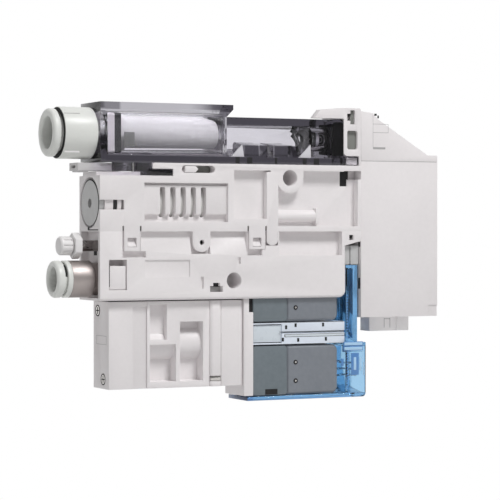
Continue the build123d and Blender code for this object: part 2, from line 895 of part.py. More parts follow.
# Vacuum port: body, release button, gripping ring and tube seal
vacuum_guide_r = guide_radius(vacuum_tube_d)
vacuum_chuck_x = vacuum_body_x + guide_length(vacuum_reach, vacuum_release_travel)
vacuum_seal_x = vacuum_chuck_x + chuck_length
vacuum_seat_x = vacuum_seal_x + tube_seal_length
vacuum_body_end = vacuum_body_x + vacuum_body_length
vacuum_spigot_end = vacuum_body_end + vacuum_spigot_length
vacuum_release_x = vacuum_body_x - vacuum_release_travel - seat_gap - vacuum_release_flange
with BuildPart() as vacuum_port_body:
    rim_r = vacuum_body_d / 2 - vacuum_rim_wall
    seat_r = vacuum_tube_d / 2 + tube_fit
    flow_r = vacuum_tube_d / 2 - flow_wall
    revolve(half_profile(vacuum_z, (
        (vacuum_body_x, rim_r),
        (vacuum_body_x, vacuum_body_d / 2),
        (vacuum_body_end, vacuum_body_d / 2),
        (vacuum_body_end, vacuum_spigot_d / 2),
        (vacuum_spigot_end, vacuum_spigot_d / 2),
        (vacuum_spigot_end, flow_r),
        (vacuum_seat_x + vacuum_seat_length, flow_r),
        (vacuum_seat_x + vacuum_seat_length, seat_r),
        (vacuum_seat_x, seat_r),
        (vacuum_seat_x, vacuum_guide_r),
        (vacuum_body_x + vacuum_rim_depth, vacuum_guide_r),
        (vacuum_body_x + vacuum_rim_depth, rim_r),
    )), axis=turned_axis(vacuum_z))
    body_circles = vacuum_port_body.edges().filter_by(GeomType.CIRCLE)
    fillet(body_circles.group_by(Axis.X)[-3].sort_by(SortBy.RADIUS)[-1], vacuum_rim_wall)
finish(vacuum_port_body, "vacuum_port_body")
vacuum_release = make_release(vacuum_release_x, vacuum_release_flange, vacuum_release_d, vacuum_tube_d,
                              vacuum_z, vacuum_body_x, vacuum_reach)
finish(vacuum_release, "vacuum_release")
vacuum_chuck = make_chuck(vacuum_chuck_x, vacuum_tube_d, vacuum_z)
finish(vacuum_chuck, "vacuum_chuck")
vacuum_seal = make_tube_seal(vacuum_seal_x, vacuum_tube_d, vacuum_z)
finish(vacuum_seal, "vacuum_seal")

# Supply port: nickel body with a collar, held in the lower block by the fitting clip
supply_chuck_x = supply_body_x + guide_length(supply_reach, supply_release_travel)
supply_seal_x = supply_chuck_x + chuck_length
supply_seat_x = supply_seal_x + tube_seal_length
supply_release_x = supply_body_x - supply_release_travel - seat_gap - supply_release_flange
supply_guide_r = guide_radius(supply_tube_d)
groove_start = clip_window_x + seat_gap
groove_stop = clip_window_x + clip_window_width - seat_gap
supply_seat_r = supply_tube_d / 2 + tube_fit
supply_groove_r = supply_seat_r + supply_groove_wall
with BuildPart() as supply_collar:
    revolve(half_profile(supply_z, (
        (supply_body_x, supply_guide_r),
        (supply_body_x, supply_collar_d / 2),
        (supply_collar_end, supply_collar_d / 2),
        (supply_collar_end, supply_guide_r),
    )), axis=turned_axis(supply_z))
finish(supply_collar, "supply_collar")
with BuildPart() as supply_port_body:
    stem_r = supply_stem_d / 2
    flow_r = supply_tube_d / 2 - flow_wall
    bevel = release_wall / 2
    revolve(half_profile(supply_z, (
        (supply_collar_end, supply_guide_r),
        (supply_collar_end, supply_body_d / 2),
        (supply_shoulder_x - bevel, supply_body_d / 2),
        (supply_shoulder_x, supply_body_d / 2 - bevel),
        (supply_shoulder_x, supply_shoulder_d / 2),
        (pocket_floor_x, supply_shoulder_d / 2),
        (pocket_floor_x, stem_r),
        (groove_start, stem_r),
        (groove_start, supply_groove_r),
        (groove_stop, supply_groove_r),
        (groove_stop, stem_r),
        (stem_end, stem_r),
        (stem_end, flow_r),
        (supply_seat_x + supply_seat_length, flow_r),
        (supply_seat_x + supply_seat_length, supply_seat_r),
        (supply_seat_x, supply_seat_r),
        (supply_seat_x, supply_guide_r),
    )), axis=turned_axis(supply_z))
finish(supply_port_body, "supply_port_body")
supply_release = make_release(supply_release_x, supply_release_flange, supply_release_d, supply_tube_d,
                              supply_z, supply_body_x, supply_reach)
finish(supply_release, "supply_release")
supply_chuck = make_chuck(supply_chuck_x, supply_tube_d, supply_z)
finish(supply_chuck, "supply_chuck")
supply_seal = make_tube_seal(supply_seal_x, supply_tube_d, supply_z)
finish(supply_seal, "supply_seal")

# Saddle clip that drops into the groove of the supply port
with BuildPart() as fitting_clip:
    clip_front = unit_width - clip_setback
    clip_back = unit_width - clip_window_depth
    clip_top = supply_z + supply_groove_r
    saddle = front_window(groove_start + seat_gap, groove_stop - seat_gap, clip_window_z + seat_gap,
                          clip_top, plane=Plane.XZ.offset(clip_back))
    extrude(saddle, amount=clip_front - clip_back)
    extrude(round_section(groove_start, supply_z, 2 * (supply_groove_r + seat_gap)),
            amount=clip_window_width, mode=Mode.SUBTRACT)
finish(fitting_clip, "fitting_clip")

# Needle valve: stem, fluted knob and hexagon lock nut
nut_end = lock_nut_x + lock_nut_length
needle_start = knob_x + knob_recess
needle_end = nut_end + needle_stem_length
with BuildPart() as needle:
    stem_r = needle_stem_d / 2
    revolve(half_profile(needle_z, (
        (needle_start, 0),
        (needle_start, stem_r),
        (needle_end - needle_tip_length, stem_r),
        (needle_end, needle_tip_d / 2),
        (needle_end, 0),
    )), axis=turned_axis(needle_z))
finish(needle, "needle")

with BuildPart() as needle_knob:
    extrude(round_section(knob_x, needle_z, knob_d), amount=knob_length)
    chamfer(needle_knob.edges().filter_by(GeomType.CIRCLE), knob_flute_r)
    with BuildSketch(Plane.YZ.offset(along(knob_x + 2 * knob_flute_r))):
        with Locations((mid, needle_z)):
            with PolarLocations(knob_d / 2, knob_flutes):
                Circle(knob_flute_r)
    extrude(amount=knob_length - 3 * knob_flute_r, mode=Mode.SUBTRACT)
    extrude(round_section(needle_start - seat_gap / 2, needle_z, needle_stem_d + seat_gap),
            amount=knob_length, mode=Mode.SUBTRACT)
finish(needle_knob, "needle_knob")

with BuildPart() as lock_nut:
    with BuildSketch(Plane.YZ.offset(along(lock_nut_x))):
        with Locations((mid, needle_z)):
            RegularPolygon(lock_nut_flats / 2, 6, major_radius=False, rotation=30)
            Circle(needle_stem_d / 2 + guide_gap, mode=Mode.SUBTRACT)
    extrude(amount=lock_nut_length)
finish(lock_nut, "lock_nut")

# Smoked filter case: base plate, thin walled chamber, narrow duct, feet and locking arm
case_end = case_x + case_length
case_width = unit_width - 2 * case_side_gap
valve_chamber_x = duct_end - valve_chamber_setback
plate_top = rail_top + case_plate
plate_width = unit_width - 2 * seat_gap
chamber_start = case_x + case_flange_length
chamber_end = case_end - case_end_flange
chamber_width = case_width - 2 * case_wall
chamber_top = case_top - case_plate - case_roof
chamber_height = chamber_top - plate_top
chamber_middle = (chamber_top + plate_top) / 2
port_hole_d = vacuum_spigot_d + 2 * seat_gap
duct_room_end = valve_chamber_x - case_lip_height


def chamber_section(place, margin):
    # rounded rectangle across the chamber, smaller all round by the margin
    with BuildSketch(Plane.YZ.offset(along(place))) as section:
        with Locations((mid, chamber_middle)):
            RectangleRounded(chamber_width - 2 * margin, chamber_height - 2 * margin, chamber_round)
    return section.sketch


with BuildPart() as filter_case:
    # base plate along the rail
    with BuildSketch(Plane.XY.offset(rail_top)):
        with Locations((along((case_x + duct_end) / 2), mid)):
            Rectangle(duct_end - case_x, plate_width)
    extrude(amount=case_plate)
    # box with its lipped top plate
    with BuildSketch(Plane.XZ.offset(-mid - case_width / 2)):
        with BuildLine():
            Polyline(
                (along(case_x), rail_top),
                (along(case_x), case_top),
                (along(case_end + case_lip_length), case_top),
                (along(case_end + case_lip_length), case_top - case_lip_height),
                (along(case_end), case_top - case_lip_height - case_lip_length),
                (along(case_end), rail_top),
                close=True,
            )
        make_face()
    extrude(amount=case_width)
    extrude(chamber_section(chamber_start, 0), amount=chamber_end - chamber_start, mode=Mode.SUBTRACT)
    # narrow duct, hollow down to the plate
    duct_plane = Plane.XZ.offset(-mid - duct_width / 2)
    duct = front_window(case_end, duct_end, rail_top, duct_top, plane=duct_plane)
    extrude(duct, amount=duct_width)
    duct_room = front_window(case_end, duct_room_end, plate_top, duct_top - duct_roof,
                             plane=Plane.XZ.offset(-mid - duct_width / 2 + duct_wall))
    extrude(duct_room, amount=duct_width - 2 * duct_wall, mode=Mode.SUBTRACT)
    # slanted ribs on the floor of the duct
    rib_top = plate_top + duct_rib_height
    first_rib_top = max(first_rib_end - duct_rib_slant, seat_gap)
    for start, stop, top_stop in (
        (0, first_rib_end, first_rib_top),
        (second_rib[0], second_rib[1], second_rib[1]),
        (third_rib[0], third_rib[1], third_rib[1] - duct_rib_slant),
    ):
        with BuildSketch(duct_plane):
            with BuildLine():
                Polyline(
                    (along(case_end + start), rail_top),
                    (along(case_end + start), rib_top),
                    (along(case_end + top_stop), rib_top),
                    (along(case_end + stop), rail_top + case_plate / 2),
                    (along(case_end + stop), rail_top),
                    close=True,
                )
            make_face()
        extrude(amount=duct_width)
    # end block over the check valve, down to the plate
    duct_block = front_window(duct_end - valve_block_length, duct_end, rail_top, duct_top, clear_round,
                              plane=Plane.XZ.offset(-mid - case_width / 2))
    extrude(duct_block, amount=case_width)
    extrude(round_section(duct_room_end, valve_z, valve_housing_d),
            amount=duct_end - valve_block_length - duct_room_end)
    clear_foot_end = bracket_x + clear_foot_setback + clear_foot_length
    clear_foot = front_window(duct_end - case_plate, clear_foot_end, rail_top + seat_gap,
                              rail_top + clear_foot_height, clear_round,
                              plane=Plane.XZ.offset(-mid + case_width / 2))
    extrude(clear_foot, amount=-clear_foot_depth)
    # feet on the block and the arm that slides under the nose of the rail
    for start, length in ((foot_x, foot_length), (second_foot_x, second_foot_length)):
        foot = front_window(start, start + length, land_top + seat_gap, rail_top,
                            plane=Plane.XZ.offset(unit_width - seat_gap))
        extrude(foot, amount=-foot_depth)
    arm_bottom = ledge_top + seat_gap
    arm_face = Plane.XZ.offset(unit_width - seat_gap)
    arm_depth = (unit_width - land_depth) / 2 - 2 * seat_gap
    arm_drop = front_window(arm_x, rail_start - 2 * seat_gap, arm_bottom, rail_top, plane=arm_face)
    extrude(arm_drop, amount=-arm_depth)
    arm = front_window(arm_x, arm_slot_end - 2 * seat_gap, arm_bottom, arm_bottom + arm_height,
                       plane=arm_face)
    extrude(arm, amount=-arm_depth)
    # hole for the port, bore into the duct and valve chamber
    extrude(round_section(case_x, vacuum_z, port_hole_d), amount=case_flange_length + seat_gap,
            mode=Mode.SUBTRACT)
    extrude(round_section(chamber_end - seat_gap, valve_z, duct_bore_d),
            amount=case_end_flange + 2 * seat_gap, mode=Mode.SUBTRACT)
    extrude(round_section(duct_room_end - seat_gap, valve_z, valve_seat_bore_d),
            amount=case_lip_height + 2 * seat_gap, mode=Mode.SUBTRACT)
    extrude(round_section(valve_chamber_x, valve_z, valve_chamber_d), amount=valve_chamber_length,
            mode=Mode.SUBTRACT)
finish(filter_case, "filter_case")

# Filter set: end ring, seal and element, stacked on the port spigot
holder_x = chamber_start + seat_gap
gasket_x = holder_x + holder_length
filter_start = max(gasket_x + gasket_length, vacuum_spigot_end + seat_gap)
with BuildPart() as filter_holder:
    extrude(chamber_section(holder_x, seat_gap), amount=holder_length)
    extrude(round_section(holder_x, vacuum_z, port_hole_d), amount=holder_length, mode=Mode.SUBTRACT)
finish(filter_holder, "filter_holder")
with BuildPart() as filter_gasket:
    extrude(chamber_section(gasket_x, seat_gap), amount=gasket_length)
    extrude(round_section(gasket_x, vacuum_z, port_hole_d), amount=gasket_length, mode=Mode.SUBTRACT)
finish(filter_gasket, "filter_gasket")
filter_end = chamber_end - filter_end_gap
with BuildPart() as filter_element:
    flange_stop = filter_start + gasket_length
    cup_floor = filter_end - gasket_length
    revolve(half_profile(vacuum_z, (
        (filter_start, filter_bore_d / 2),
        (filter_start, filter_flange_d / 2),
        (flange_stop, filter_flange_d / 2),
        (flange_stop, filter_d / 2),
        (filter_end, filter_d / 2),
        (filter_end, 0),
        (cup_floor, 0),
        (cup_floor, filter_bore_d / 2),
    )), axis=turned_axis(vacuum_z))
finish(filter_element, "filter_element")

# Check valve: ring seat and a disc that lifts off it
with BuildPart() as valve_seat:
    extrude(round_section(valve_chamber_x, valve_z, valve_chamber_d - 2 * seat_gap),
            amount=valve_seat_length)
    extrude(round_section(valve_chamber_x, valve_z, valve_seat_bore_d), amount=valve_seat_length,
            mode=Mode.SUBTRACT)
finish(valve_seat, "valve_seat")
disc_x = valve_chamber_x + valve_seat_length + seat_gap
with BuildPart() as valve_disc:
    disc_hub_r = valve_hub_d / 2
    revolve(half_profile(valve_z, (
        (disc_x, 0),
        (disc_x, valve_disc_d / 2),
        (disc_x + valve_disc_thickness, valve_disc_d / 2),
        (disc_x + valve_disc_thickness, disc_hub_r),
        (disc_x + 2 * valve_disc_thickness, disc_hub_r),
        (disc_x + 2 * valve_disc_thickness, 0),
    )), axis=turned_axis(valve_z))
finish(valve_disc, "valve_disc")

# White lever between the case plate and the land, pulled out to free the case
lever_bottom = land_top + running_gap
lever_top = rail_top - running_gap / 2
with BuildPart() as lock_lever:
    with BuildSketch(Plane.XY.offset(lever_bottom)):
        with Locations((along(lever_x + lever_length / 2), mid)):
            RectangleRounded(lever_length, lever_width, lever_grip_height)
    extrude(amount=lever_top - lever_bottom)
    with BuildSketch(Plane.YZ.offset(along(lever_x))):
        with Locations((mid, (lever_bottom + lever_top) / 2)):
            SlotOverall(lever_recess_width, lever_recess_height)
    extrude(amount=lever_recess_width, mode=Mode.SUBTRACT)
    grip_x = lever_x + lever_grip_setback
    with BuildSketch(Plane.XY.offset(lever_bottom)):
        with Locations((along(grip_x + lever_grip_length / 2), mid)):
            Rectangle(lever_grip_length, lever_width - 2 * lever_grip_height)
    extrude(amount=-lever_grip_height)
finish(lock_lever, "lock_lever")

# White stop latch in the long slot beside the arm
latch_depth = case_slot_depth - seat_gap
with BuildPart() as case_latch:
    with BuildSketch(Plane.XZ.offset(unit_width - case_slot_depth)):
        latch_tip = case_slot_x + case_slot_length / 2
        latch_half = case_slot_height / 2 - seat_gap
        with BuildLine():
            Polyline(
                (along(case_slot_x + case_slot_height / 2), case_slot_z - latch_half),
                (along(case_slot_x + case_slot_height / 2), case_slot_z + latch_half),
                (along(latch_tip - latch_half), case_slot_z + latch_half),
                (along(latch_tip), case_slot_z),
                (along(latch_tip - latch_half), case_slot_z - latch_half),
                close=True,
            )
        make_face()
    extrude(amount=latch_depth)
finish(case_latch, "case_latch")

# Valve stack, hung under the lower block on a thin gasket
stack_top = base_bottom - stack_top_gasket
stack_front = unit_width - stack_front_gap
stack_width = unit_width - 2 * stack_front_gap
stack_back = stack_front - stack_width
stack_back_plane = Plane.XZ.offset(stack_back)
stack_front_plane = Plane.XZ.offset(stack_front)
with BuildPart() as stack_gasket:
    gasket_plate = front_window(end_block_x + gasket_margin, link_end - gasket_margin, stack_top,
                                base_bottom, plane=Plane.XZ.offset(stack_back + gasket_margin))
    extrude(gasket_plate, amount=stack_width - 2 * gasket_margin)
finish(stack_gasket, "stack_gasket")

spool_bore_end = valve_body_x + valve_body_length
spool_start = end_block_x + end_block_length / 2
screws = (end_screw_upper, end_screw_lower)
with BuildPart() as valve_end_block:
    end_outline = front_window(end_block_x, valve_body_x, stack_bottom, stack_top, plane=stack_back_plane)
    extrude(end_outline, amount=stack_width)
    channel = front_window(valve_body_x - channel_width, valve_body_x, stack_bottom - 1,
                           stack_top - channel_drop, plane=stack_front_plane)
    extrude(channel, amount=-channel_depth, mode=Mode.SUBTRACT)
    extrude(round_section(spool_start, valve_bore_z, valve_bore_d),
            amount=end_block_length, mode=Mode.SUBTRACT)
    for place in screws:
        extrude(round_section(end_block_x, place[1], end_screw_d + 2 * seat_gap, place[0]),
                amount=end_block_length, mode=Mode.SUBTRACT)
finish(valve_end_block, "valve_end_block")

# Valve body: four moulded pockets that leave the round spool housing standing
pocket_columns = (
    (valve_body_x + upper_pocket[0], valve_body_x + upper_pocket[1], stack_top - valve_rim_top,
     stack_top - upper_pocket[2], upper_pocket_depth),
    (valve_body_x + lower_pocket[0], valve_body_x + lower_pocket[1], valve_bore_z,
     stack_bottom + valve_rim_bottom, lower_pocket_depth),
    (valve_body_x + right_pocket[0], valve_body_x + right_pocket[1], stack_top - right_pocket[2],
     stack_bottom + valve_rim_bottom, lower_pocket_depth),
)
with BuildPart() as valve_body:
    body_outline = front_window(valve_body_x, valve_body_x + valve_body_length, stack_bottom, stack_top,
                                plane=stack_back_plane)
    extrude(body_outline, amount=stack_width)
    for start, stop, top, bottom, depth in pocket_columns:
        pocket = front_window(start, stop, bottom, top, plane=stack_front_plane)
        extrude(pocket, amount=-depth, mode=Mode.SUBTRACT)
    extrude(round_section(valve_body_x, valve_bore_z, 2 * valve_bulge_r, -(stack_front + stack_back) / 2),
            amount=valve_body_length)
    extrude(round_section(valve_body_x, valve_bore_z, valve_bore_d), amount=valve_body_length,
            mode=Mode.SUBTRACT)
    for place in screws:
        extrude(round_section(valve_body_x, place[1], end_screw_d, place[0]),
                amount=end_screw_length - end_block_length + seat_gap, mode=Mode.SUBTRACT)
finish(valve_body, "valve_body")


def make_spool(start):
    # spool with a waist between its two lands
    with BuildPart() as spool:
        revolve(half_profile(valve_bore_z, (
            (start, 0),
            (start, spool_d / 2),
            (start + spool_land, spool_d / 2),
            (start + spool_land, spool_waist_d / 2),
            (start + spool_length - spool_land, spool_waist_d / 2),
            (start + spool_length - spool_land, spool_d / 2),
            (start + spool_length, spool_d / 2),
            (start + spool_length, 0),
        )), axis=turned_axis(valve_bore_z))
    return spool


supply_spool_x = spool_start + spool_travel + seat_gap
release_spool_x = spool_bore_end - spool_length - spool_travel - seat_gap
supply_spool = make_spool(supply_spool_x)
finish(supply_spool, "supply_spool")
release_spool = make_spool(release_spool_x)
finish(release_spool, "release_spool")

# Screws that hold the end block, with a slotted head sunk in its face
with BuildPart() as end_screws:
    for place in screws:
        extrude(round_section(end_block_x, place[1], end_screw_d, place[0]), amount=end_screw_length)
finish(end_screws, "end_screws")

# Rounded clip rail between the valve body and the link block, with its metal pin
with BuildPart() as rib_clip:
    rib_outline = front_window(rib_x, rib_x + rib_width, stack_bottom, stack_top, plane=stack_back_plane)
    extrude(rib_outline, amount=stack_width + rib_rise)
    rib_front = rib_clip.faces().sort_by(Axis.Y)[0]
    fillet(rib_front.edges().filter_by(Axis.Z), rib_round)
    pin_z = stack_bottom + clip_from_bottom
    pin_x = rib_x + (rib_width - clip_length) / 2
    pin_slot = front_window(pin_x, pin_x + clip_length, pin_z, pin_z + clip_height,
                            plane=Plane.XZ.offset(stack_front + rib_rise))
    extrude(pin_slot, amount=-clip_height, mode=Mode.SUBTRACT)
finish(rib_clip, "rib_clip")
with BuildPart() as clip_pin:
    pin_body = front_window(pin_x + seat_gap, pin_x + clip_length - seat_gap, pin_z + seat_gap,
                            pin_z + clip_height - seat_gap, clip_round,
                            plane=Plane.XZ.offset(stack_front + rib_rise - clip_height))
    extrude(pin_body, amount=clip_height - 4 * seat_gap)
finish(clip_pin, "clip_pin")

with BuildPart() as link_block:
    link_outline = front_window(link_x, link_end, stack_bottom, stack_top, plane=stack_back_plane)
    extrude(link_outline, amount=stack_width)
    chamfer(link_block.faces().sort_by(Axis.Y)[0].edges().sort_by(Axis.X)[-1], link_bevel)
finish(link_block, "link_block")

# Pilot valves: frame bar, light strip, and an upper and a lower coil with yoke, plunger and pins
frame_x = link_end
frame_end = frame_x + frame_length
coil_end = frame_end + pilot_coil_length
yoke_end = cover_x - yoke_clearance
pilot_yoke_length = yoke_end - coil_end
strip_end = cover_end + strip_reach
strip_top = strip_z + strip_height / 2
strip_bottom = strip_z - strip_height / 2
upper_floor = strip_top + strip_gap
lower_floor = strip_bottom - strip_gap - pilot_height
pilot_front = unit_width - skirt_wall - pilot_side_gap
pilot_back = pilot_wall_gap
pilot_width = pilot_front - pilot_back
pilot_back_plane = Plane.XZ.offset(pilot_back)
pilot_front_plane = Plane.XZ.offset(pilot_front)
pilot_middle = -(pilot_front + pilot_back) / 2
plunger_bore_d = plunger_d + 2 * guide_gap
with BuildPart() as pilot_frame:
    bar = front_window(frame_x, frame_end, lower_floor, upper_floor + pilot_height, plane=pilot_back_plane)
    extrude(bar, amount=pilot_width)
    frame_notch = front_window(frame_end - frame_notch_length, frame_end, base_bottom - frame_notch_height,
                               base_bottom, plane=pilot_front_plane)
    extrude(frame_notch, amount=-frame_notch_height, mode=Mode.SUBTRACT)
    for floor in (lower_floor, upper_floor):
        extrude(round_section(frame_x, floor + pilot_height / 2, pilot_passage_d, pilot_middle),
                amount=frame_length, mode=Mode.SUBTRACT)
finish(pilot_frame, "pilot_frame")


def make_coil(floor):
    with BuildPart() as coil:
        block = front_window(frame_end, coil_end, floor, floor + pilot_height, coil_round,
                             plane=pilot_back_plane)
        extrude(block, amount=pilot_width)
        extrude(round_section(frame_end, floor + pilot_height / 2, plunger_bore_d, pilot_middle),
                amount=pilot_coil_length, mode=Mode.SUBTRACT)
    return coil


def make_yoke(floor):
    with BuildPart() as yoke:
        with BuildSketch(pilot_back_plane) as yoke_outline:
            with Locations((along((coil_end + yoke_end) / 2), floor + pilot_height / 2)):
                Rectangle(pilot_yoke_length, pilot_height)
            fillet(yoke_outline.vertices().group_by(Axis.X)[-1], yoke_round)
        extrude(amount=pilot_width)
        chamfer(yoke.faces().sort_by(Axis.Y)[0].edges(), yoke_step)
        extrude(round_section(coil_end, floor + pilot_height / 2, plunger_bore_d, pilot_middle),
                amount=plunger_travel + 2 * running_gap, mode=Mode.SUBTRACT)
    return yoke


def make_plunger(floor):
    start = coil_end - plunger_length
    with BuildPart() as plunger:
        extrude(round_section(start, floor + pilot_height / 2, plunger_d, pilot_middle),
                amount=plunger_length)
        chamfer(plunger.edges().filter_by(GeomType.CIRCLE), plunger_bevel)
    return plunger


upper_coil = make_coil(upper_floor)
finish(upper_coil, "upper_coil")
lower_coil = make_coil(lower_floor)
finish(lower_coil, "lower_coil")
upper_yoke = make_yoke(upper_floor)
finish(upper_yoke, "upper_yoke")
lower_yoke = make_yoke(lower_floor)
finish(lower_yoke, "lower_yoke")
upper_plunger = make_plunger(upper_floor)
finish(upper_plunger, "upper_plunger")
lower_plunger = make_plunger(lower_floor)
finish(lower_plunger, "lower_plunger")

# Round rivet heads on the front of the yokes
with BuildPart() as yoke_pins:
    for top in (upper_floor + pilot_height, lower_floor + pilot_height):
        for drop in yoke_pin_drops:
            with BuildSketch(pilot_front_plane):
                with Locations((along(coil_end + yoke_pin_x), top - drop)):
                    Circle(yoke_pin_d / 2)
            extrude(amount=yoke_pin_rise)
finish(yoke_pins, "yoke_pins")

with BuildPart() as light_strip:
    strip_bar = front_window(frame_end, strip_end, strip_bottom, strip_top, plane=pilot_back_plane)
    extrude(strip_bar, amount=pilot_width)
    step = front_window(frame_end, frame_end + strip_step_length, strip_bottom + strip_step_depth,
                        strip_top - strip_step_depth, plane=pilot_front_plane)
    extrude(step, amount=-strip_step_depth, mode=Mode.SUBTRACT)
    line = front_window(frame_end + strip_step_length, strip_end, strip_z, strip_z + strip_step_depth,
                        plane=pilot_front_plane)
    extrude(line, amount=-strip_step_depth, mode=Mode.SUBTRACT)
finish(light_strip, "light_strip")

# Blue cover: bottom tray, narrow upper bar and a socket that opens to the right
tray_x = frame_x + tray_gap
cover_floor = cover_bottom + cover_wall
cover_bar_end = cover_x + cover_bar_length
cover_wide_end = cover_x + cover_socket_length
with BuildPart() as blue_cover:
    with BuildSketch(pilot_back_plane) as cover_outline:
        with BuildLine():
            Polyline(
                (along(tray_x), cover_bottom),
                (along(tray_x), cover_floor),
                (along(cover_x), cover_floor),
                (along(cover_x), cover_top),
                (along(cover_bar_end), cover_top),
                (along(cover_bar_end), cover_step_z),
                (along(cover_wide_end), cover_step_z),
                (along(cover_wide_end), cover_bottom),
                close=True,
            )
        make_face()
        fillet(cover_outline.vertices().group_by(Axis.Y)[0].sort_by(Axis.X)[-1], cover_wall)
    extrude(amount=pilot_width)
    socket_plane = Plane.XZ.offset(pilot_back + cover_wall)
    socket = front_window(cover_x + cover_wall, cover_wide_end + 1, cover_floor, cover_step_z - cover_wall,
                          plane=socket_plane)
    extrude(socket, amount=pilot_width - 2 * cover_wall, mode=Mode.SUBTRACT)
    bar_hollow = front_window(cover_x + cover_wall, cover_bar_end - cover_wall, cover_step_z + cover_wall,
                              cover_top - cover_wall, plane=socket_plane)
    extrude(bar_hollow, amount=pilot_width - 2 * cover_wall, mode=Mode.SUBTRACT)
    latch = front_window(cover_x - cover_wall, cover_wide_end - cover_wall,
                         cover_step_z - cover_latch_height, cover_step_z - cover_wall / 2,
                         plane=pilot_front_plane)
    extrude(latch, amount=cover_wall / 2)
finish(blue_cover, "blue_cover")

with BuildPart() as socket_pins:
    socket_middle = (cover_floor + cover_step_z - cover_wall) / 2
    for index in range(socket_pin_count):
        pin_height = socket_middle + (index - (socket_pin_count - 1) / 2) * socket_pin_pitch
        extrude(round_section(cover_x + cover_wall, pin_height, socket_pin_d, pilot_middle),
                amount=socket_pin_length)
finish(socket_pins, "socket_pins")

# Grey passage block under the wing, between the body and the switch
switch_x = block_length + seat_gap
with BuildPart() as sense_link:
    link_shape = front_window(cover_end + seat_gap, block_length - seat_gap, cover_top + seat_gap,
                              wing_z_left - seat_gap, plane=pilot_back_plane)
    extrude(link_shape, amount=pilot_width)
    link_groove = front_window(cover_x + cover_wall, cover_x + cover_wall + strip_step_depth, cover_top,
                               wing_z_left, plane=pilot_front_plane)
    extrude(link_groove, amount=-strip_step_depth, mode=Mode.SUBTRACT)
finish(sense_link, "sense_link")

# Bracket that stands on the rail, with a roof over the duct and two windows
bracket_front = unit_width - seat_gap
bracket_width = bracket_front - bracket_back_gap
roof_floor = duct_top + running_gap
with BuildPart() as bracket:
    with BuildSketch(Plane.XZ.offset(bracket_front - bracket_width)) as bracket_outline:
        with BuildLine():
            Polyline(
                (along(bracket_x), rail_top),
                (along(bracket_x), bracket_top),
                (along(block_length), bracket_top),
                (along(block_length), rail_top),
                close=True,
            )
        make_face()
        fillet(bracket_outline.vertices().group_by(Axis.Y)[-1].sort_by(Axis.X)[-1], bracket_window_round)
    extrude(amount=bracket_width)
    # thin roof tongue along the front, over the duct
    with BuildSketch(Plane.XZ.offset(bracket_front - bracket_roof_depth)):
        with BuildLine():
            Polyline(
                (along(bracket_x), roof_floor),
                (along(bracket_x - bracket_roof_reach), roof_floor),
                (along(bracket_x - bracket_roof_reach + bracket_roof_nose), roof_floor + bracket_roof),
                (along(bracket_x), bracket_top),
                close=True,
            )
        make_face()
    extrude(amount=bracket_roof_depth)
    foot_room_top = rail_top + clear_foot_height + seat_gap
    foot_room = front_window(bracket_x - 1, clear_foot_end + seat_gap, rail_top - 1, foot_room_top,
                             plane=Plane.XZ.offset(bracket_front))
    extrude(foot_room, amount=-clear_foot_depth - 4 * seat_gap, mode=Mode.SUBTRACT)
    room_edges = bracket.edges().filter_by(Axis.Y)
    room_edges = room_edges.filter_by_position(Axis.Z, foot_room_top - 0.01, foot_room_top + 0.01)
    fillet(room_edges.sort_by(Axis.X)[0], bracket_foot_round)
    window_x = bracket_x + (bracket_length - bracket_window_length) / 2
    bracket_window = front_window(window_x, window_x + bracket_window_length, bracket_window_z,
                                  bracket_window_z + bracket_window_height, bracket_window_round,
                                  plane=Plane.XZ.offset(bracket_front))
    extrude(bracket_window, amount=-bracket_window_depth, mode=Mode.SUBTRACT)
    slot_x = window_x + key_slot_arm
    slot_top = bracket_top - bracket_window_round
    slot_bottom = slot_top - key_slot_height
    for start, end, bottom, top in (
        (slot_x, slot_x + key_slot_width, slot_bottom, slot_top),
        (slot_x - key_slot_arm, slot_x, slot_bottom + key_slot_arm, slot_top - key_slot_arm),
    ):
        key_slot = front_window(start, end, bottom, top, plane=Plane.XZ.offset(bracket_front))
        extrude(key_slot, amount=-key_slot_depth, mode=Mode.SUBTRACT)
finish(bracket, "bracket")

# Pressure switch: case, slanted head with display and keys, connector and board
switch_end = switch_x + switch_length
switch_back = switch_side_gap
switch_width = unit_width - 2 * switch_side_gap
switch_back_plane = Plane.XZ.offset(switch_back)
slope_start = (switch_x + switch_crown_length, switch_crown - crown_drop)
slope_stop = (switch_end - switch_flat, switch_shoulder)
slope_run = slope_stop[0] - slope_start[0]
slope_fall = slope_start[1] - slope_stop[1]
slope_plane = Plane(
    origin=(along(slope_start[0]), mid, slope_start[1]),
    x_dir=(slope_run, 0, -slope_fall),
    z_dir=(slope_fall, 0, slope_run),
)
display_middle = display_start + display_length / 2
key_middle = display_middle + display_length / 2 + key_from_display
key_places = [(key_middle, (index - (key_count - 1) / 2) * key_pitch) for index in range(key_count)]
with BuildPart() as switch_head:
    with BuildSketch(switch_back_plane):
        with BuildLine():
            Polyline(
                (along(switch_x), switch_seam),
                (along(switch_x), switch_crown),
                (along(switch_x + crown_flat_length), switch_crown - crown_step),
                (along(slope_start[0]), slope_start[1]),
                (along(slope_stop[0]), slope_stop[1]),
                (along(switch_end), switch_shoulder),
                (along(switch_end), switch_seam),
                close=True,
            )
        make_face()
    extrude(amount=switch_width)
    with BuildSketch(slope_plane):
        with Locations((display_middle, 0)):
            Rectangle(display_length, display_width)
    extrude(amount=-display_depth, mode=Mode.SUBTRACT)
    with BuildSketch(slope_plane):
        with Locations(key_places):
            Circle(key_d / 2 + guide_gap)
    extrude(amount=-key_depth - key_travel - seat_gap, mode=Mode.SUBTRACT)
finish(switch_head, "switch_head")

with BuildPart() as display_window:
    with BuildSketch(slope_plane.offset(-display_depth)):
        with Locations((display_middle, 0)):
            Rectangle(display_length - 2 * seat_gap, display_width - 2 * seat_gap)
    extrude(amount=display_depth)
finish(display_window, "display_window")

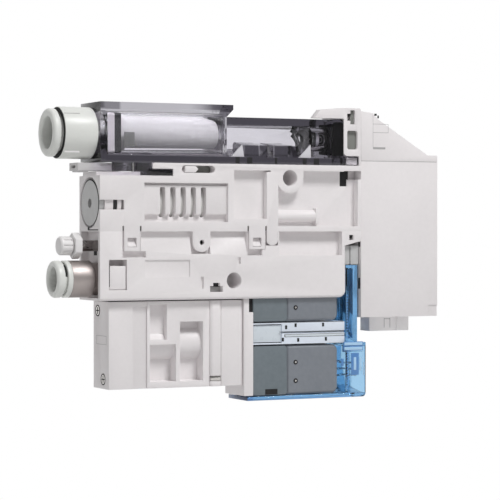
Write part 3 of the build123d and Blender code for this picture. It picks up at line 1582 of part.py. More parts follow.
for index in range(key_count):
    with BuildPart() as switch_key:
        with BuildSketch(slope_plane.offset(-key_depth)):
            with Locations(key_places[index]):
                Circle(key_d / 2)
        extrude(amount=key_depth + key_rise)
        chamfer(switch_key.edges().filter_by(GeomType.CIRCLE).sort_by(Axis.Z)[-1], key_rise / 2)
    finish(switch_key, "switch_key_" + str(index + 1))

connector_back = (unit_width - connector_width) / 2
connector_x = switch_x + connector_setback
with BuildPart() as switch_case:
    case_shape = front_window(switch_x, switch_end, switch_bottom, switch_seam, plane=switch_back_plane)
    extrude(case_shape, amount=switch_width)
    patch = front_window(switch_end - switch_flat, switch_end, switch_bottom, switch_bottom + switch_flat,
                         plane=Plane.XZ.offset(switch_back + switch_width))
    extrude(patch, amount=-switch_front_step, mode=Mode.SUBTRACT)
    hollow = front_window(switch_x + switch_wall, switch_end - switch_wall, switch_bottom + switch_wall,
                          switch_seam, plane=Plane.XZ.offset(switch_back + switch_wall))
    extrude(hollow, amount=switch_width - 2 * switch_wall, mode=Mode.SUBTRACT)
    # nipple that brings the vacuum from the upper block to the sensor
    nipple_x = block_length - nipple_reach + seat_gap
    nipple_end = switch_x + switch_wall
    extrude(round_section(nipple_x, nipple_z, nipple_d), amount=switch_x - nipple_x)
    extrude(round_section(nipple_x, nipple_z, nipple_bore_d), amount=nipple_end - nipple_x,
            mode=Mode.SUBTRACT)
finish(switch_case, "switch_case")

with BuildPart() as switch_connector:
    shell = front_window(connector_x, connector_x + connector_length, switch_bottom - connector_height,
                         switch_bottom, plane=Plane.XZ.offset(connector_back))
    extrude(shell, amount=connector_width)
    mouth = front_window(connector_x + connector_wall, connector_x + connector_length - connector_wall,
                         switch_bottom - connector_height, switch_bottom - connector_wall,
                         plane=Plane.XZ.offset(connector_back + connector_wall))
    extrude(mouth, amount=connector_width - 2 * connector_wall, mode=Mode.SUBTRACT)
    key_groove_x = connector_x + connector_groove_start
    key_groove = front_window(key_groove_x, key_groove_x + connector_wall, switch_bottom - connector_height,
                              switch_bottom, plane=Plane.XZ.offset(connector_back + connector_width))
    extrude(key_groove, amount=-connector_wall / 2, mode=Mode.SUBTRACT)
finish(switch_connector, "switch_connector")

with BuildPart() as connector_pins:
    pin_middle = along(connector_x + connector_length / 2)
    with BuildSketch(Plane.XY.offset(switch_bottom - connector_wall)):
        with Locations((pin_middle, mid)):
            with GridLocations(connector_pin_pitch, 1, connector_pin_count, 1):
                Rectangle(connector_pin_d, connector_pin_d)
    extrude(amount=-(connector_height - 2 * connector_wall))
finish(connector_pins, "connector_pins")

with BuildPart() as circuit_board:
    board_x = switch_x + (switch_length - board_length) / 2
    board_z = switch_bottom + switch_wall + seat_gap
    board = front_window(board_x, board_x + board_length, board_z, board_z + board_height,
                         plane=Plane.XZ.offset(unit_width / 2))
    extrude(board, amount=board_thickness)
finish(circuit_board, "circuit_board")
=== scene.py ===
import json
import math

import bmesh
import bpy
from mathutils import Matrix, Vector


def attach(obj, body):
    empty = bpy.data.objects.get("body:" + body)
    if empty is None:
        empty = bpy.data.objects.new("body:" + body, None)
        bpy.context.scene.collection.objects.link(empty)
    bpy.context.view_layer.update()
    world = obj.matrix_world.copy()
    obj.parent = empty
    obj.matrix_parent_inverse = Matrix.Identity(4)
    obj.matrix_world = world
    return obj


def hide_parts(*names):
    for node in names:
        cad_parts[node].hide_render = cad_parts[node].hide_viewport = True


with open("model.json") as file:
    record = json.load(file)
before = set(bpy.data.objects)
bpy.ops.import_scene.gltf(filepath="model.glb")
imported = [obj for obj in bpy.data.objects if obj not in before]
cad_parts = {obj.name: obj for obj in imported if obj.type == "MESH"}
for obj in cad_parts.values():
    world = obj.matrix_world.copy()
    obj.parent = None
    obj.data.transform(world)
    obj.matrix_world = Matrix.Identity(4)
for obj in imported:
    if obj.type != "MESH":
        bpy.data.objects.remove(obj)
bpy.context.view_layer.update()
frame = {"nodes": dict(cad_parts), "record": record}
print("frame loaded:", len(frame["nodes"]), "nodes")

mm = 0.001
micron = 0.000001
leftEnd = -48.35  # left end of the blocks, in mm


def place(x, y, z):
    # x is measured from the left end of the blocks, y and z from the wall and the screw centre
    return Vector(((leftEnd + x) * mm, y * mm, z * mm))


# camera at the photograph's angle
camera = {"spot": (-256.15, -532.4, -0.3), "heading": 26.0, "pitch": -0.55, "lens": 150.0,
          "sensor": 36.0, "near": 0.01, "far": 20.0}


def makeCamera():
    lens = bpy.data.cameras.new("photoCamera")
    lens.lens = camera["lens"]
    lens.sensor_width = camera["sensor"]
    lens.clip_start = camera["near"]
    lens.clip_end = camera["far"]
    body = bpy.data.objects.new("photoCamera", lens)
    bpy.context.scene.collection.objects.link(body)
    turn, tilt = math.radians(camera["heading"]), math.radians(camera["pitch"])
    look = Vector((math.sin(turn) * math.cos(tilt), math.cos(turn) * math.cos(tilt),
                   math.sin(tilt)))
    body.location = Vector(camera["spot"]) * mm
    body.rotation_mode = "QUATERNION"
    body.rotation_quaternion = look.to_track_quat("-Z", "Y")
    bpy.context.scene.camera = body


makeCamera()


class Wire:
    # wraps a socket, so that sums over a surface read as sums
    def __init__(self, socket):
        self.socket = socket

    def node(self, kind, settings=None, sockets=None, out=0):
        tree = self.socket.id_data
        made = tree.nodes.new(kind)
        for name, value in (settings or {}).items():
            if name == "stops":
                ramp = made.color_ramp
                while len(ramp.elements) < len(value):
                    ramp.elements.new(0.5)
                for element, (spot, colour) in zip(ramp.elements, value):
                    element.position = spot
                    element.color = colour
            else:
                setattr(made, name, value)
        for key, value in (sockets or {}).items():
            if isinstance(value, Wire):
                tree.links.new(value.socket, made.inputs[key])
            else:
                made.inputs[key].default_value = value
        return Wire(made.outputs[out])

    def maths(self, operation, first, second=0.0):
        return self.node("ShaderNodeMath", {"operation": operation}, {0: first, 1: second})

    def __add__(self, other):
        return self.maths("ADD", self, other)

    def __radd__(self, other):
        return self.maths("ADD", other, self)

    def __sub__(self, other):
        return self.maths("SUBTRACT", self, other)

    def __rsub__(self, other):
        return self.maths("SUBTRACT", other, self)

    def __mul__(self, other):
        return self.maths("MULTIPLY", self, other)

    def __rmul__(self, other):
        return self.maths("MULTIPLY", other, self)

    def larger(self, other):
        return self.maths("MAXIMUM", self, other)

    def noise(self, scale, detail=2.0):
        return self.node("ShaderNodeTexNoise", None,
                         {"Vector": self, "Scale": scale, "Detail": detail}, "Fac")

    def blend(self, dark, light):
        # this wire's value moves the colour from dark to light
        return self.node("ShaderNodeMix", {"data_type": "RGBA"},
                         {0: self, 6: (*dark, 1), 7: (*light, 1)}, 2)

    def span(self, low, high, newLow=0.0, newHigh=1.0):
        return self.node("ShaderNodeMapRange", {"clamp": True},
                         {"Value": self, "From Min": low, "From Max": high,
                          "To Min": newLow, "To Max": newHigh})


def newPaint(name):
    # a bare material: its surface node and the object coordinates
    paint = bpy.data.materials.new(name)
    paint.use_nodes = True
    tree = paint.node_tree
    tree.nodes.clear()
    shader = tree.nodes.new("ShaderNodeBsdfPrincipled")
    output = tree.nodes.new("ShaderNodeOutputMaterial")
    tree.links.new(shader.outputs[0], output.inputs["Surface"])
    coordinates = tree.nodes.new("ShaderNodeTexCoord")
    return paint, shader, Wire(coordinates.outputs["Object"])


def feed(node, **inputs):
    for name, value in inputs.items():
        socket = node.inputs[name.replace("_", " ")]
        if isinstance(value, Wire):
            node.id_data.links.new(value.socket, socket)
        else:
            socket.default_value = value


def mixIn(paint, shader, other, share):
    # a second surface takes this share of a paint's own one
    mix = share.node("ShaderNodeMixShader", None, {0: share, 1: Wire(shader.outputs[0]), 2: other})
    feed(paint.node_tree.nodes["Material Output"], Surface=mix)


middle = (0.3, 0.7)  # where most values of a noise lie
fineDetail = 3.0  # octaves of the finer noises


def grain(spot, scale, depth):
    # fine surface grain as a bump, scale per metre and depth in microns
    return spot.node("ShaderNodeBump", None,
                     {"Height": spot.noise(scale, fineDetail), "Strength": 1.0,
                      "Distance": depth * micron}, "Normal")


# finishes by material slot; shift is how far the colour strays, grain is in microns
finishes = {
    "white_plastic": {"colour": (0.80, 0.768, 0.774), "shift": 0.02, "rough": 0.46, "grain": 4},
    "port_plastic": {"colour": (0.73, 0.74, 0.71), "shift": 0.02, "rough": 0.38, "grain": 4},
    "grey_plastic": {"colour": (0.52, 0.52, 0.52), "shift": 0.03, "rough": 0.45, "grain": 6},
    "filter_white": {"colour": (0.82, 0.82, 0.80), "shift": 0.05, "rough": 0.85, "grain": 30},
    "coil_grey": {"colour": (0.16, 0.19, 0.21), "shift": 0.02, "rough": 0.5, "grain": 10},
    "pale_strip": {"colour": (0.73, 0.79, 0.88), "shift": 0.02, "rough": 0.35, "grain": 4},
    "rubber": {"colour": (0.02, 0.02, 0.022), "shift": 0.006, "rough": 0.62, "grain": 8},
    "key_grey": {"colour": (0.33, 0.34, 0.36), "shift": 0.02, "rough": 0.5, "grain": 6},
    "board_green": {"colour": (0.03, 0.17, 0.09), "shift": 0.02, "rough": 0.4, "grain": 4},
}
metals = {
    "nickel": {"colour": (0.48, 0.43, 0.415), "rough": 0.5, "streaks": 0.05},
    "steel": {"colour": (0.60, 0.58, 0.56), "rough": 0.16, "streaks": 0.03},
    "darkSteel": {"colour": (0.34, 0.32, 0.31), "rough": 0.12, "streaks": 0.03},
    "brass": {"colour": (0.80, 0.60, 0.28), "rough": 0.25, "streaks": 0.08},
    "aluminium": {"colour": (0.80, 0.81, 0.82), "rough": 0.30, "streaks": 0.08},
}
# noise scales per metre, their shares, and how far gloss spreads round a finish's own roughness
mottle = {"broad": 70.0, "broadShare": 0.6, "fine": 900.0, "fineShare": 0.4, "gloss": 400.0,
          "glossLow": 0.25, "glossHigh": 0.75, "smoother": 0.07, "rougher": 0.09, "grain": 5200.0}
plasticIor = 1.5


def mouldedPaint(slot):
    look = finishes[slot]
    paint, shader, spot = newPaint(slot)
    cloud = (spot.noise(mottle["broad"], fineDetail) * mottle["broadShare"]
             + spot.noise(mottle["fine"]) * mottle["fineShare"])
    dark = [max(0.0, c - look["shift"]) for c in look["colour"]]
    light = [min(1.0, c + look["shift"]) for c in look["colour"]]
    gloss = spot.noise(mottle["gloss"], fineDetail)
    gloss = gloss.span(mottle["glossLow"], mottle["glossHigh"],
                       look["rough"] - mottle["smoother"], look["rough"] + mottle["rougher"])
    feed(shader, Base_Color=cloud.span(*middle).blend(dark, light), Roughness=gloss,
         Normal=grain(spot, mottle["grain"], look["grain"]), IOR=plasticIor)
    return paint


# marks of turning on the metals: noise squeezed along X, so that its streaks run round that axis
turning = {"squeeze": (14.0, 1.0, 1.0), "streaks": 700.0, "cloud": 300.0, "darkest": 0.9,
           "ridges": 900.0, "depth": 0.7}


def metalPaint(slot):
    look = metals[slot]
    paint, shader, spot = newPaint(slot)
    turned = spot.node("ShaderNodeMapping", None, {"Vector": spot, "Scale": turning["squeeze"]})
    gloss = turned.noise(turning["streaks"])
    gloss = gloss.span(*middle, look["rough"] - look["streaks"], look["rough"] + look["streaks"])
    dark = [c * turning["darkest"] for c in look["colour"]]
    feed(shader, Base_Color=spot.noise(turning["cloud"]).blend(dark, look["colour"]), Metallic=1.0,
         Roughness=gloss, Normal=grain(turned, turning["ridges"], turning["depth"]))
    return paint


# clear mouldings: colour of a thin wall, of a thick stretch, and of the depth between the faces
clear = {
    "smoked_plastic": {"colour": (0.86, 0.85, 0.885), "dark": (0.09, 0.084, 0.104),
                       "depth": (0.30, 0.29, 0.34), "density": 50.0, "rough": 0.04},
    "blue_plastic": {"colour": (0.35, 0.60, 0.83), "dark": (0.07, 0.18, 0.46),
                     "depth": (0.34, 0.62, 0.84), "density": 70.0, "rough": 0.10},
}
polish = {"cloud": 120.0, "darkest": 0.98, "gloss": 260.0, "smoothest": 0.6, "roughest": 1.4,
          "ripples": 1500.0, "rippleDepth": 1.0, "shadowTint": 0.95}


def band(wire, low, high, soft=0.12):
    # 1 where the wire lies between low and high
    return wire.span(low - soft, low + soft) * (1 - wire.span(high - soft, high + soft))


def clearPaint(slot, thick):
    # see-through moulding, tinted by the depth that light crosses and darker where it is thick
    look = clear[slot]
    paint, shader, spot = newPaint(slot)
    pale = spot.noise(polish["cloud"]).blend([c * polish["darkest"] for c in look["colour"]],
                                             look["colour"])
    shade = spot.node("ShaderNodeMix", {"data_type": "RGBA"},
                      {0: thick(spot), 6: pale, 7: (*look["dark"], 1)}, 2)
    gloss = spot.noise(polish["gloss"], fineDetail)
    gloss = gloss.span(*middle, look["rough"] * polish["smoothest"],
                       look["rough"] * polish["roughest"])
    feed(shader, Base_Color=shade, Roughness=gloss, IOR=plasticIor, Transmission_Weight=1.0,
         Normal=grain(spot, polish["ripples"], polish["rippleDepth"]))
    feed(paint.node_tree.nodes["Material Output"],
         Volume=spot.node("ShaderNodeVolumeAbsorption", None,
                          {"Color": (*look["depth"], 1), "Density": look["density"]}))
    # the lamps' rays go straight through, so that they reach what is inside
    passing = (*[c * polish["shadowTint"] for c in look["colour"]], 1)
    mixIn(paint, shader, spot.node("ShaderNodeBsdfTransparent", None, {"Color": passing}),
          spot.node("ShaderNodeLightPath", None, None, "Is Shadow Ray"))
    return paint


def across(spot, part, start=0.0):
    # one coordinate of a point in mm
    coordinate = spot.node("ShaderNodeSeparateXYZ", None, {"Vector": spot}, part)
    return (coordinate - start * mm) * (1 / mm)


# thick stretches of the smoked case as (from, to) in mm along x or z, and how dark some of them are
caseSpans = {"plateTop": (19.75, 19.95), "wall": (36.5, 37.8),
             "wallLines": ((36.45, 36.75), (37.5, 37.8)),
             "lidRight": (30.0, 37.0), "lidLeft": (5.6, 6.4), "lidFoot": (32.0, 32.2),
             "start": (-1.0, 2.4), "startTop": (24.5, 27.0),
             "duct": (37.6, 37.8), "roof": (28.8, 31.5),
             "ribs": ((44.2, 51.4), (53.5, 61.0)), "ribTop": (23.0, 23.4),
             "valveEnd": (70.7, 74.5), "foot": (74.6, 74.8)}
caseShades = {"wall": 0.1, "lines": 0.3, "lineSoft": 0.05, "lidLeft": 0.85, "footClear": 0.9}


def caseThick(spot):
    # 1 where the smoked case is thick, 0 at its thin walls and in the clear foot
    x, z = across(spot, "X", leftEnd), across(spot, "Z")
    wall = band(x, *caseSpans["wall"]) * caseShades["wall"]
    for line in caseSpans["wallLines"]:
        wall = wall + band(x, *line, caseShades["lineSoft"]) * caseShades["lines"]
    lidLeft = (1 - x.span(*caseSpans["lidLeft"])) * caseShades["lidLeft"]
    lid = (x.span(*caseSpans["lidRight"]) + lidLeft) * z.span(*caseSpans["lidFoot"])
    start = band(x, *caseSpans["start"]) * (1 - z.span(*caseSpans["startTop"]))
    roof = x.span(*caseSpans["duct"]) * band(z, *caseSpans["roof"])
    first, second = caseSpans["ribs"]
    ribs = (band(x, *first) + band(x, *second)) * (1 - z.span(*caseSpans["ribTop"]))
    dark = 1 - z.span(*caseSpans["plateTop"])
    for other in (wall, lid, start, roof, ribs, band(x, *caseSpans["valveEnd"])):
        dark = dark.larger(other)
    return dark * (1 - x.span(*caseSpans["foot"], 0.0, caseShades["footClear"]))


# thick stretches of the blue cover: its front end along x and the lower rim of its tray along z
coverSpans = {"front": (46.0, 46.3), "rim": (-47.6, -47.3)}
coverShades = {"front": 0.8, "rim": 0.5}


def coverThick(spot):
    x, z = across(spot, "X", leftEnd), across(spot, "Z")
    front = (1 - x.span(*coverSpans["front"])) * coverShades["front"]
    return front.larger((1 - z.span(*coverSpans["rim"])) * coverShades["rim"])


windowGlass = {"dark": (0.012, 0.012, 0.014), "light": (0.02, 0.021, 0.024), "cloud": 200.0,
               "gloss": 500.0, "smoothest": 0.06, "roughest": 0.12}


def glossDark(name):
    paint, shader, spot = newPaint(name)
    colour = spot.noise(windowGlass["cloud"]).blend(windowGlass["dark"], windowGlass["light"])
    gloss = spot.noise(windowGlass["gloss"])
    feed(shader, Base_Color=colour,
         Roughness=gloss.span(*middle, windowGlass["smoothest"], windowGlass["roughest"]))
    return paint


paints = {slot: mouldedPaint(slot) for slot in finishes}
paints.update({slot: metalPaint(slot) for slot in metals})
paints["smoked_plastic"] = clearPaint("smoked_plastic", caseThick)
paints["blue_plastic"] = clearPaint("blue_plastic", coverThick)
paints["display_dark"] = glossDark("display_dark")
# tones of single pieces that differ from their slot's finish
tones = {
    "deepShade": {"colour": (0.014, 0.014, 0.015), "shift": 0.004, "rough": 0.8, "grain": 4},
    "recessShade": {"colour": (0.21, 0.215, 0.2), "shift": 0.01, "rough": 0.7, "grain": 4},
    "softShade": {"colour": (0.40, 0.395, 0.395), "shift": 0.01, "rough": 0.6, "grain": 4},
    # the valve disc's pale silicone, also used to paint the highlight on the slanted faces of the
    # duct hooks
    "paleSiliconeAndHighlight": {"colour": (0.66, 0.65, 0.69), "shift": 0.01, "rough": 0.4, "grain": 4},
    "yokeGrey": {"colour": (0.205, 0.222, 0.25), "shift": 0.02, "rough": 0.42, "grain": 6},
    # a white brighter than the white plastic: painted light on the connector's front, and a painted
    # highlight line on the vacuum port body
    "paintedLightWhite": {"colour": (0.94, 0.92, 0.925), "shift": 0.02, "rough": 0.46, "grain": 4},
    # the lever's white plastic darkened as painted shade, for the shadow it lies in under the port
    # body and the case
    "leverShadedWhite": {"colour": (0.60, 0.585, 0.59), "shift": 0.02, "rough": 0.45, "grain": 4},
    "knobWhite": {"colour": (0.79, 0.775, 0.775), "shift": 0.02, "rough": 0.42, "grain": 4},
    "iceBlue": {"colour": (0.42, 0.64, 0.86), "shift": 0.02, "rough": 0.3, "grain": 4},
    "deepBlue": {"colour": (0.10, 0.25, 0.55), "shift": 0.02, "rough": 0.3, "grain": 4},
    "brightStrip": {"colour": (0.635, 0.69, 0.74), "shift": 0.01, "rough": 0.3, "grain": 4},
}
finishes.update(tones)
paints.update({name: mouldedPaint(name) for name in tones})
print("finishes made:", len(paints))

slotOf = {part["node"]: part["material_slot"] for part in frame["record"]["subparts"]}
bodyOf = {name: body for body, members in frame["record"]["behaviour"]["bodies"].items()
          for name in members}
creaseAngle = 32.0  # in degrees; a steeper edge is shaded sharp


def addPiece(name, form, body, slot, paint=None, replaced=()):
    # a finished bmesh becomes an object at the origin that rides on its body
    mesh = bpy.data.meshes.new(name)
    form.to_mesh(mesh)
    form.free()
    for polygon in mesh.polygons:
        polygon.use_smooth = True
    mesh.set_sharp_from_angle(angle=math.radians(creaseAngle))
    piece = bpy.data.objects.new(name, mesh)
    bpy.context.scene.collection.objects.link(piece)
    mesh.materials.append(paint or paints[slot])
    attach(piece, body)
    if replaced:
        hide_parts(*replaced)
    return piece


def bevelEdges(form, edges, width):
    # rounds edges by a width in mm
    bmesh.ops.bevel(form, geom=edges, offset=width * mm, offset_type="OFFSET", segments=2,
                    profile=0.5, affect="EDGES", clamp_overlap=True, material=-1)


# how a CAD node's points are merged (microns) and which edges count as flat or sharp (degrees)
softening = {"merge": 2, "flat": 0.6, "sharp": 28.0}


def softened(node, width):
    # a merged copy of a CAD node with its edges rounded as a moulding's are
    form = bmesh.new()
    form.from_mesh(frame["nodes"][node].data)
    bmesh.ops.remove_doubles(form, verts=form.verts, dist=softening["merge"] * micron)
    bmesh.ops.dissolve_limit(form, angle_limit=math.radians(softening["flat"]), verts=form.verts,
                             edges=form.edges)
    limit = math.radians(softening["sharp"])
    bevelEdges(form, [edge for edge in form.edges
                      if len(edge.link_faces) == 2 and edge.calc_face_angle(0.0) > limit], width)
    return form


# rounded copies of the visible mouldings, edge widths in mm
rounded = {
    "ejector_block": 0.13, "base_block": 0.13, "valve_end_block": 0.14, "valve_body": 0.12,
    "rib_clip": 0.12, "link_block": 0.12, "pilot_frame": 0.12, "bracket": 0.15, "switch_head": 0.18,
    "switch_case": 0.18, "switch_connector": 0.12, "fitting_clip": 0.1, "sense_link": 0.1,
    "lock_lever": 0.1, "case_latch": 0.06, "upper_coil": 0.18, "lower_coil": 0.18,
    "upper_yoke": 0.15, "lower_yoke": 0.15, "light_strip": 0.1, "filter_case": 0.12,
    "blue_cover": 0.14, "ejector_plug": 0.12, "vacuum_port_body": 0.12, "vacuum_release": 0.25,
    "supply_release": 0.25, "supply_collar": 0.15, "supply_port_body": 0.12, "lock_nut": 0.12,
    "needle_knob": 0.06, "clip_pin": 0.1, "switch_key_1": 0.06, "switch_key_2": 0.06,
    "switch_key_3": 0.06,
}
# nodes whose colour differs from their slot's finish; the lever's tone is painted shade and the
# connector's is painted light
ownTone = {"upper_yoke": "yokeGrey", "lower_yoke": "yokeGrey", "lock_lever": "leverShadedWhite",
           "valve_disc": "paleSiliconeAndHighlight", "valve_seat": "deepShade", "socket_pins": "nickel",
           "switch_connector": "paintedLightWhite", "needle_knob": "knobWhite",
           "lock_nut": "knobWhite", "needle": "darkSteel"}
for node, width in rounded.items():
    piece = addPiece("soft_" + node, softened(node, width), bodyOf[node], slotOf[node],
                     paints[ownTone.get(node, slotOf[node])], (node,))
    # the CAD mesh's stored normals don't fit the rounded edges
    if "custom_normal" in piece.data.attributes:
        piece.data.attributes.remove(piece.data.attributes["custom_normal"])
print("mouldings rounded:", len(rounded))


def edgesOf(verts):
    # each edge of some vertices once, always in the same order
    return list(dict.fromkeys(edge for vert in verts for edge in vert.link_edges))


def addSlab(form, low, high, edge):
    # flat block between two corners in mm, with its edges bevelled
    made = bmesh.ops.create_cube(form, size=1.0)["verts"]
    bmesh.ops.scale(form, vec=[(b - a) * mm for a, b in zip(low, high)], verts=made)
    bmesh.ops.translate(form, vec=place(*[(a + b) / 2 for a, b in zip(low, high)]), verts=made)
    bevelEdges(form, edgesOf(made), edge)


def addRing(form, centre, axis, profile, steps=32):
    # closed outline of (reach along the axis, radius) in mm, spun once round the axis
    side = Vector((0, 0, 1))
    verts = [form.verts.new(centre + axis * reach * mm + side * radius * mm)
             for reach, radius in profile]
    edges = [form.edges.new((verts[i - 1], verts[i])) for i in range(len(verts))]
    bmesh.ops.spin(form, geom=verts + edges, cent=centre, axis=axis, angle=2 * math.pi, steps=steps,
                   use_merge=True)


# an edge steeper than the rim angle, in radians, is rounded by a share of the disc's thickness
discs = {"segments": 28, "rimAngle": 1.0, "edge": 0.2}


def addDisc(form, centre, axis, radius, thickness):
    turn = axis.to_track_quat("Z", "Y").to_matrix().to_4x4()
    made = bmesh.ops.create_cone(form, cap_ends=True, segments=discs["segments"],
                                 radius1=radius * mm, radius2=radius * mm, depth=thickness * mm,
                                 matrix=Matrix.Translation(centre) @ turn)["verts"]
    bevelEdges(form, [edge for edge in edgesOf(made)
                      if edge.calc_face_angle(0) > discs["rimAngle"]], thickness * discs["edge"])


weld = 0.5  # in microns, joins points that lie on each other


def closed(form):
    bmesh.ops.remove_doubles(form, verts=form.verts, dist=weld * micron)
    bmesh.ops.recalc_face_normals(form, faces=form.faces)
    # spin leaves its faces in no fixed order; sorted, the mesh is the same in each run
    form.verts.index_update()
    inOrder = sorted(form.faces, key=lambda face: sorted(vert.index for vert in face.verts))
    rank = {face: count for count, face in enumerate(inOrder)}
    form.faces.sort(key=rank.get)
    return form


